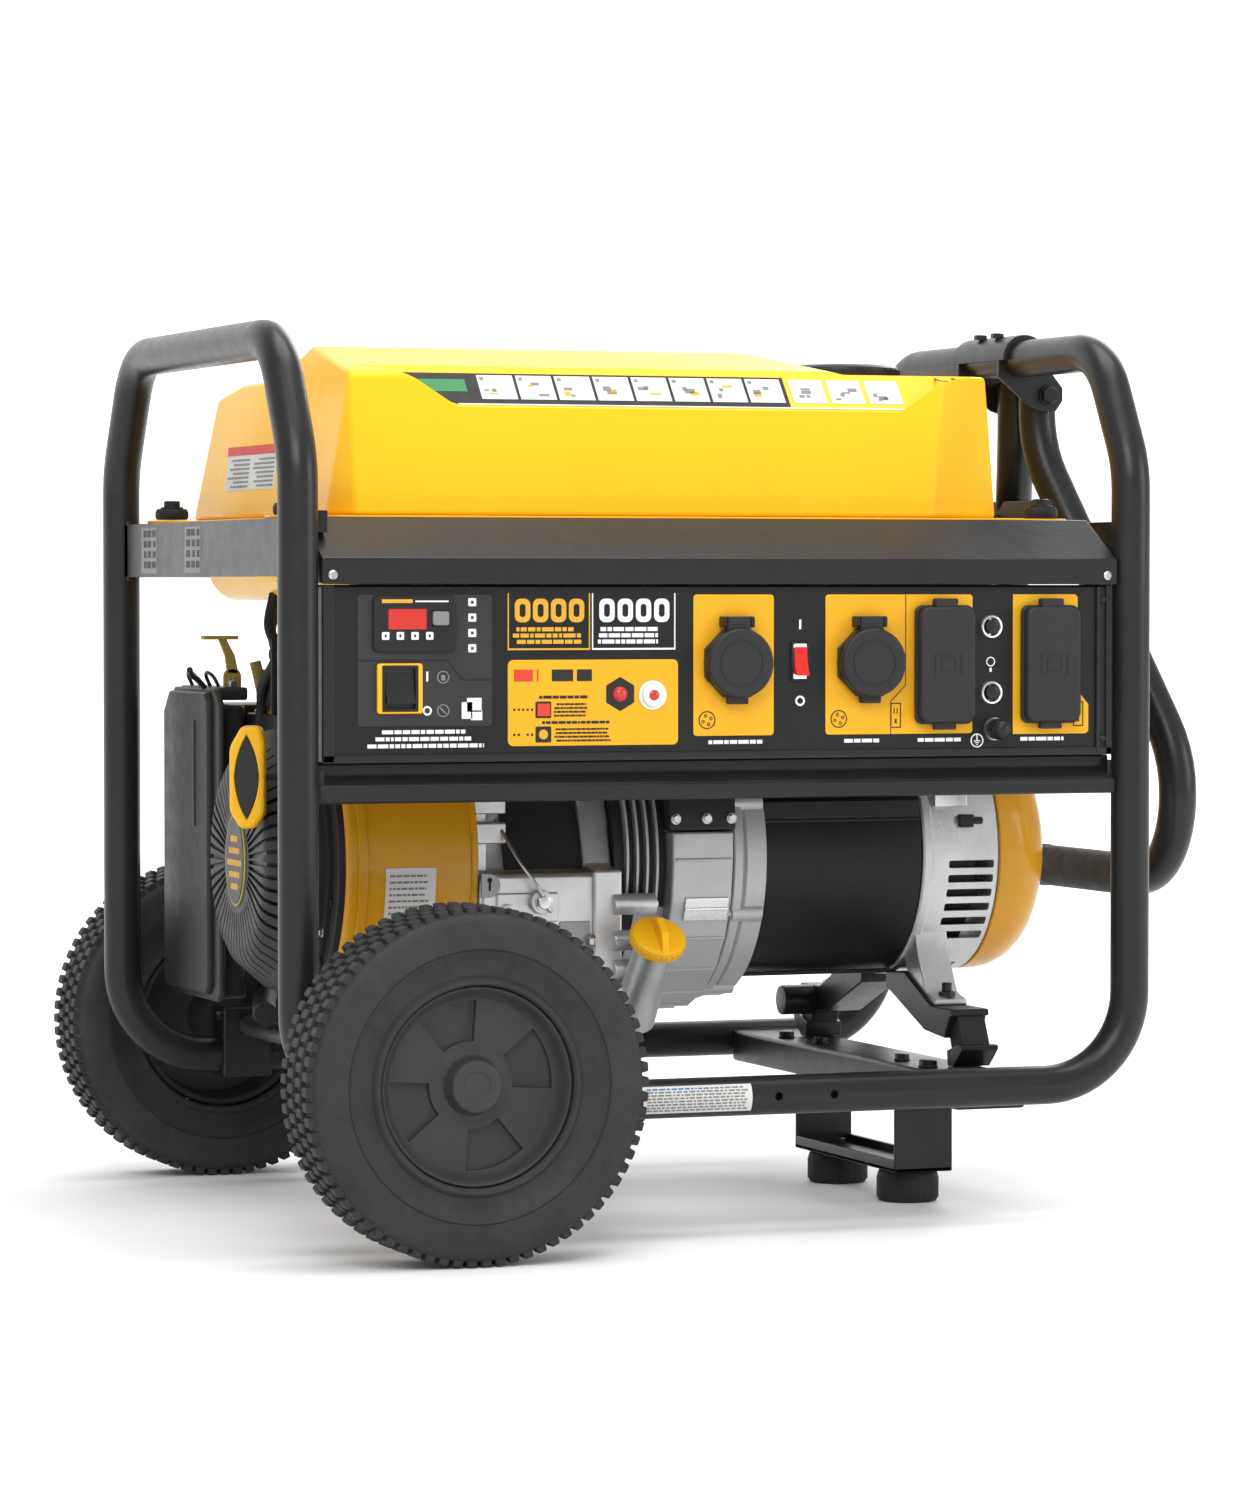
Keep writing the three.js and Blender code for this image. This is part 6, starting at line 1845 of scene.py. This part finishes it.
def clamp():
    build = Build()
    bore = Build().rod("Y", (POST_X, TOP_Z), TUBE_R + 0.3, -60, 60, 64, 0)
    build.rod("Y", (POST_X, TOP_Z), TUBE_R + 4.5, -50, 50, 64, 1.2)
    build.box(POST_X - 22, POST_X + 8, -32, 32, TOP_Z + 8, TOP_Z + 20.6, 2, 3)
    build.carve(Build().box(POST_X - 60, POST_X + 60, -60, 60, TOP_Z - 60, TOP_Z - 1, 0), bore)
    for s in SIDES:
        y0, y1 = sorted((s * 36.5, s * 40.5))
        build.prism("Y", [(POST_X - 18.6, TOP_Z), (POST_X - 18.6, 640), (336, 616), (345, 613),
                          (357, 613.5), (363, 622), (363, 632), (POST_X + 18.6, TOP_Z)], y0, y1, 0.9)
    tube_hole = Build().rod("Y", (POST_X, TOP_Z), TUBE_R + 0.3, -60, 60, 64, 0)
    build.carve(tube_hole)
    build.piece("clamp_saddle", "powder_coat", replaces=["handle_clamp"])
    bolts = Build()
    for y in (-16, 16):
        bolts.bolt("Z", (POST_X - 9, y), TOP_Z + 17.4, 5.2, 1, washer=False)
    bolts.piece("clamp_bolts", "black_steel")
    x, z = PIVOT
    pin = Build().rod("Y", (x, z), 4, -44, 44, 32, 0.6)
    for s in SIDES:
        pin.rod("Y", (x, z), 8, min(s * 40.9, s * 42.4), max(s * 40.9, s * 42.4), 36, 0.3)
        a, b = sorted((s * 42.2, s * 46.6))
        pin.turned("Y", (x, z), [(0, a), (6.6, a), (7, a + 0.5), (7, b - 0.5), (6.6, b), (0, b)], 6)
    pin.piece("hinge_pin_bolt", "black_steel", replaces=["handle_pin"])


# ---------------------------------------------------------------- labels on the frame and tank
def rail_label():
    build = Build()
    marks = Build()
    blue = Build()
    build.prism("X", arc(-POST_Y, RAIL_Z, TUBE_R + 0.25, 138, 222, 12)
                + arc(-POST_Y, RAIL_Z, TUBE_R - 0.2, 222, 138, 12), -70, 15, 0)
    rng = random.Random(17)
    for k in range(8):
        a = 146 + k * 9
        x = -67
        while x < 9:
            w = rng.uniform(1.5, 5)
            target = blue if k < 1 and x < -20 else marks
            target.prism("X", arc(-POST_Y, RAIL_Z, TUBE_R + 0.45, a, a + 4.6, 3)
                         + arc(-POST_Y, RAIL_Z, TUBE_R + 0.1, a + 4.6, a, 3), x, x + w, 0)
            x += w + 1.1
    build.piece("rail_label", "label_white", smooth=60)
    marks.piece("rail_label_print", "print_grey", smooth=60)
    blue.piece("rail_label_heading", "print_blue", smooth=60)


def tank_label():
    lean = math.atan2(14, 127)
    place = Matrix.Translation((-271.5, 0, 528)) @ Matrix.Rotation(lean, 4, "Y")
    plate = Build().box(-0.35, 0.2, 10, 142, 22, 56, 0, matrix=place)
    plate.piece("tank_label", "label_white")
    red = Build().box(-0.6, -0.3, 10, 142, 49, 56, 0, matrix=place)
    red.piece("tank_label_heading", "print_red")
    marks = Build()
    rng = random.Random(23)
    for col in range(2):
        for row in range(7):
            z = 24 + row * 3.4
            y = 14 + col * 66
            end = y + 58 - rng.uniform(0, 18)
            while y < end:
                w = rng.uniform(2, 7)
                marks.box(-0.55, -0.3, y, min(y + w, end), z, z + 1.7, 0, matrix=place)
                y += w + 1.3
    marks.piece("tank_label_print", "print_grey")


camera()
backdrop()
studio()

frame_tubes()
member(-86, "engine_member", "engine_cross_member", SIDES)
member(218, "alternator_member", "alternator_cross_member")
foot_strap()
rubber_foot("front_rubber_foot", "front_foot", -1)
rubber_foot("rear_rubber_foot", "rear_foot", 1)
end_band(-1, "left_end_band")
end_band(1, "right_end_band")
rear_band()
band_labels()
tank_bolts()
wheel("front", -1)
wheel("rear", 1)
axle()
axle_clamp("front", -1)
axle_clamp("rear", 1)

tank_shell()
tank_pan()
tank_strip()
strip_cells()
tank_symbol()
tank_label()
fuel_cap()
hood()

panel()
shelf()
switch_plate()
display()
switch_plate_white_marks()
switch_plate_dark_marks()
engine_switch()
rating_box("rating_box_left", "print_gold", -170, -107, 21)
rating_box("rating_box_right", "print_white", -105.5, -41, 22)
alarm_plate()
alarm_dark_marks()
alarm_button()
outlet_plates()
outlet_plate_marks()
outlet_white_marks()
main_breaker()
for number, (x, z) in enumerate(TWISTS, 1):
    twist_socket(number, x, z)
    twist_cover(number, x, z)
for number, (x, z) in enumerate(DUPLEXES, 1):
    duplex_socket(number, x, z)
    duplex_cover(number, x, z)
for number, place in enumerate(BREAKERS, 1):
    push_breaker(number, place)
ground_knob()

blower()
blower_label()
control_linkage()
recoil()
recoil_badge()
pull_grip()
crankcase()
crankcase_bolts()
crankcase_fittings()
dipstick()
cylinder()
muffler()
air_cleaner()
carburettor()
choke()

coupling()
coupling_fittings()
stator()
end_bracket()
end_bracket_fittings()
end_cap()
shaft()
isolators()
handle()
clamp()
rail_label()
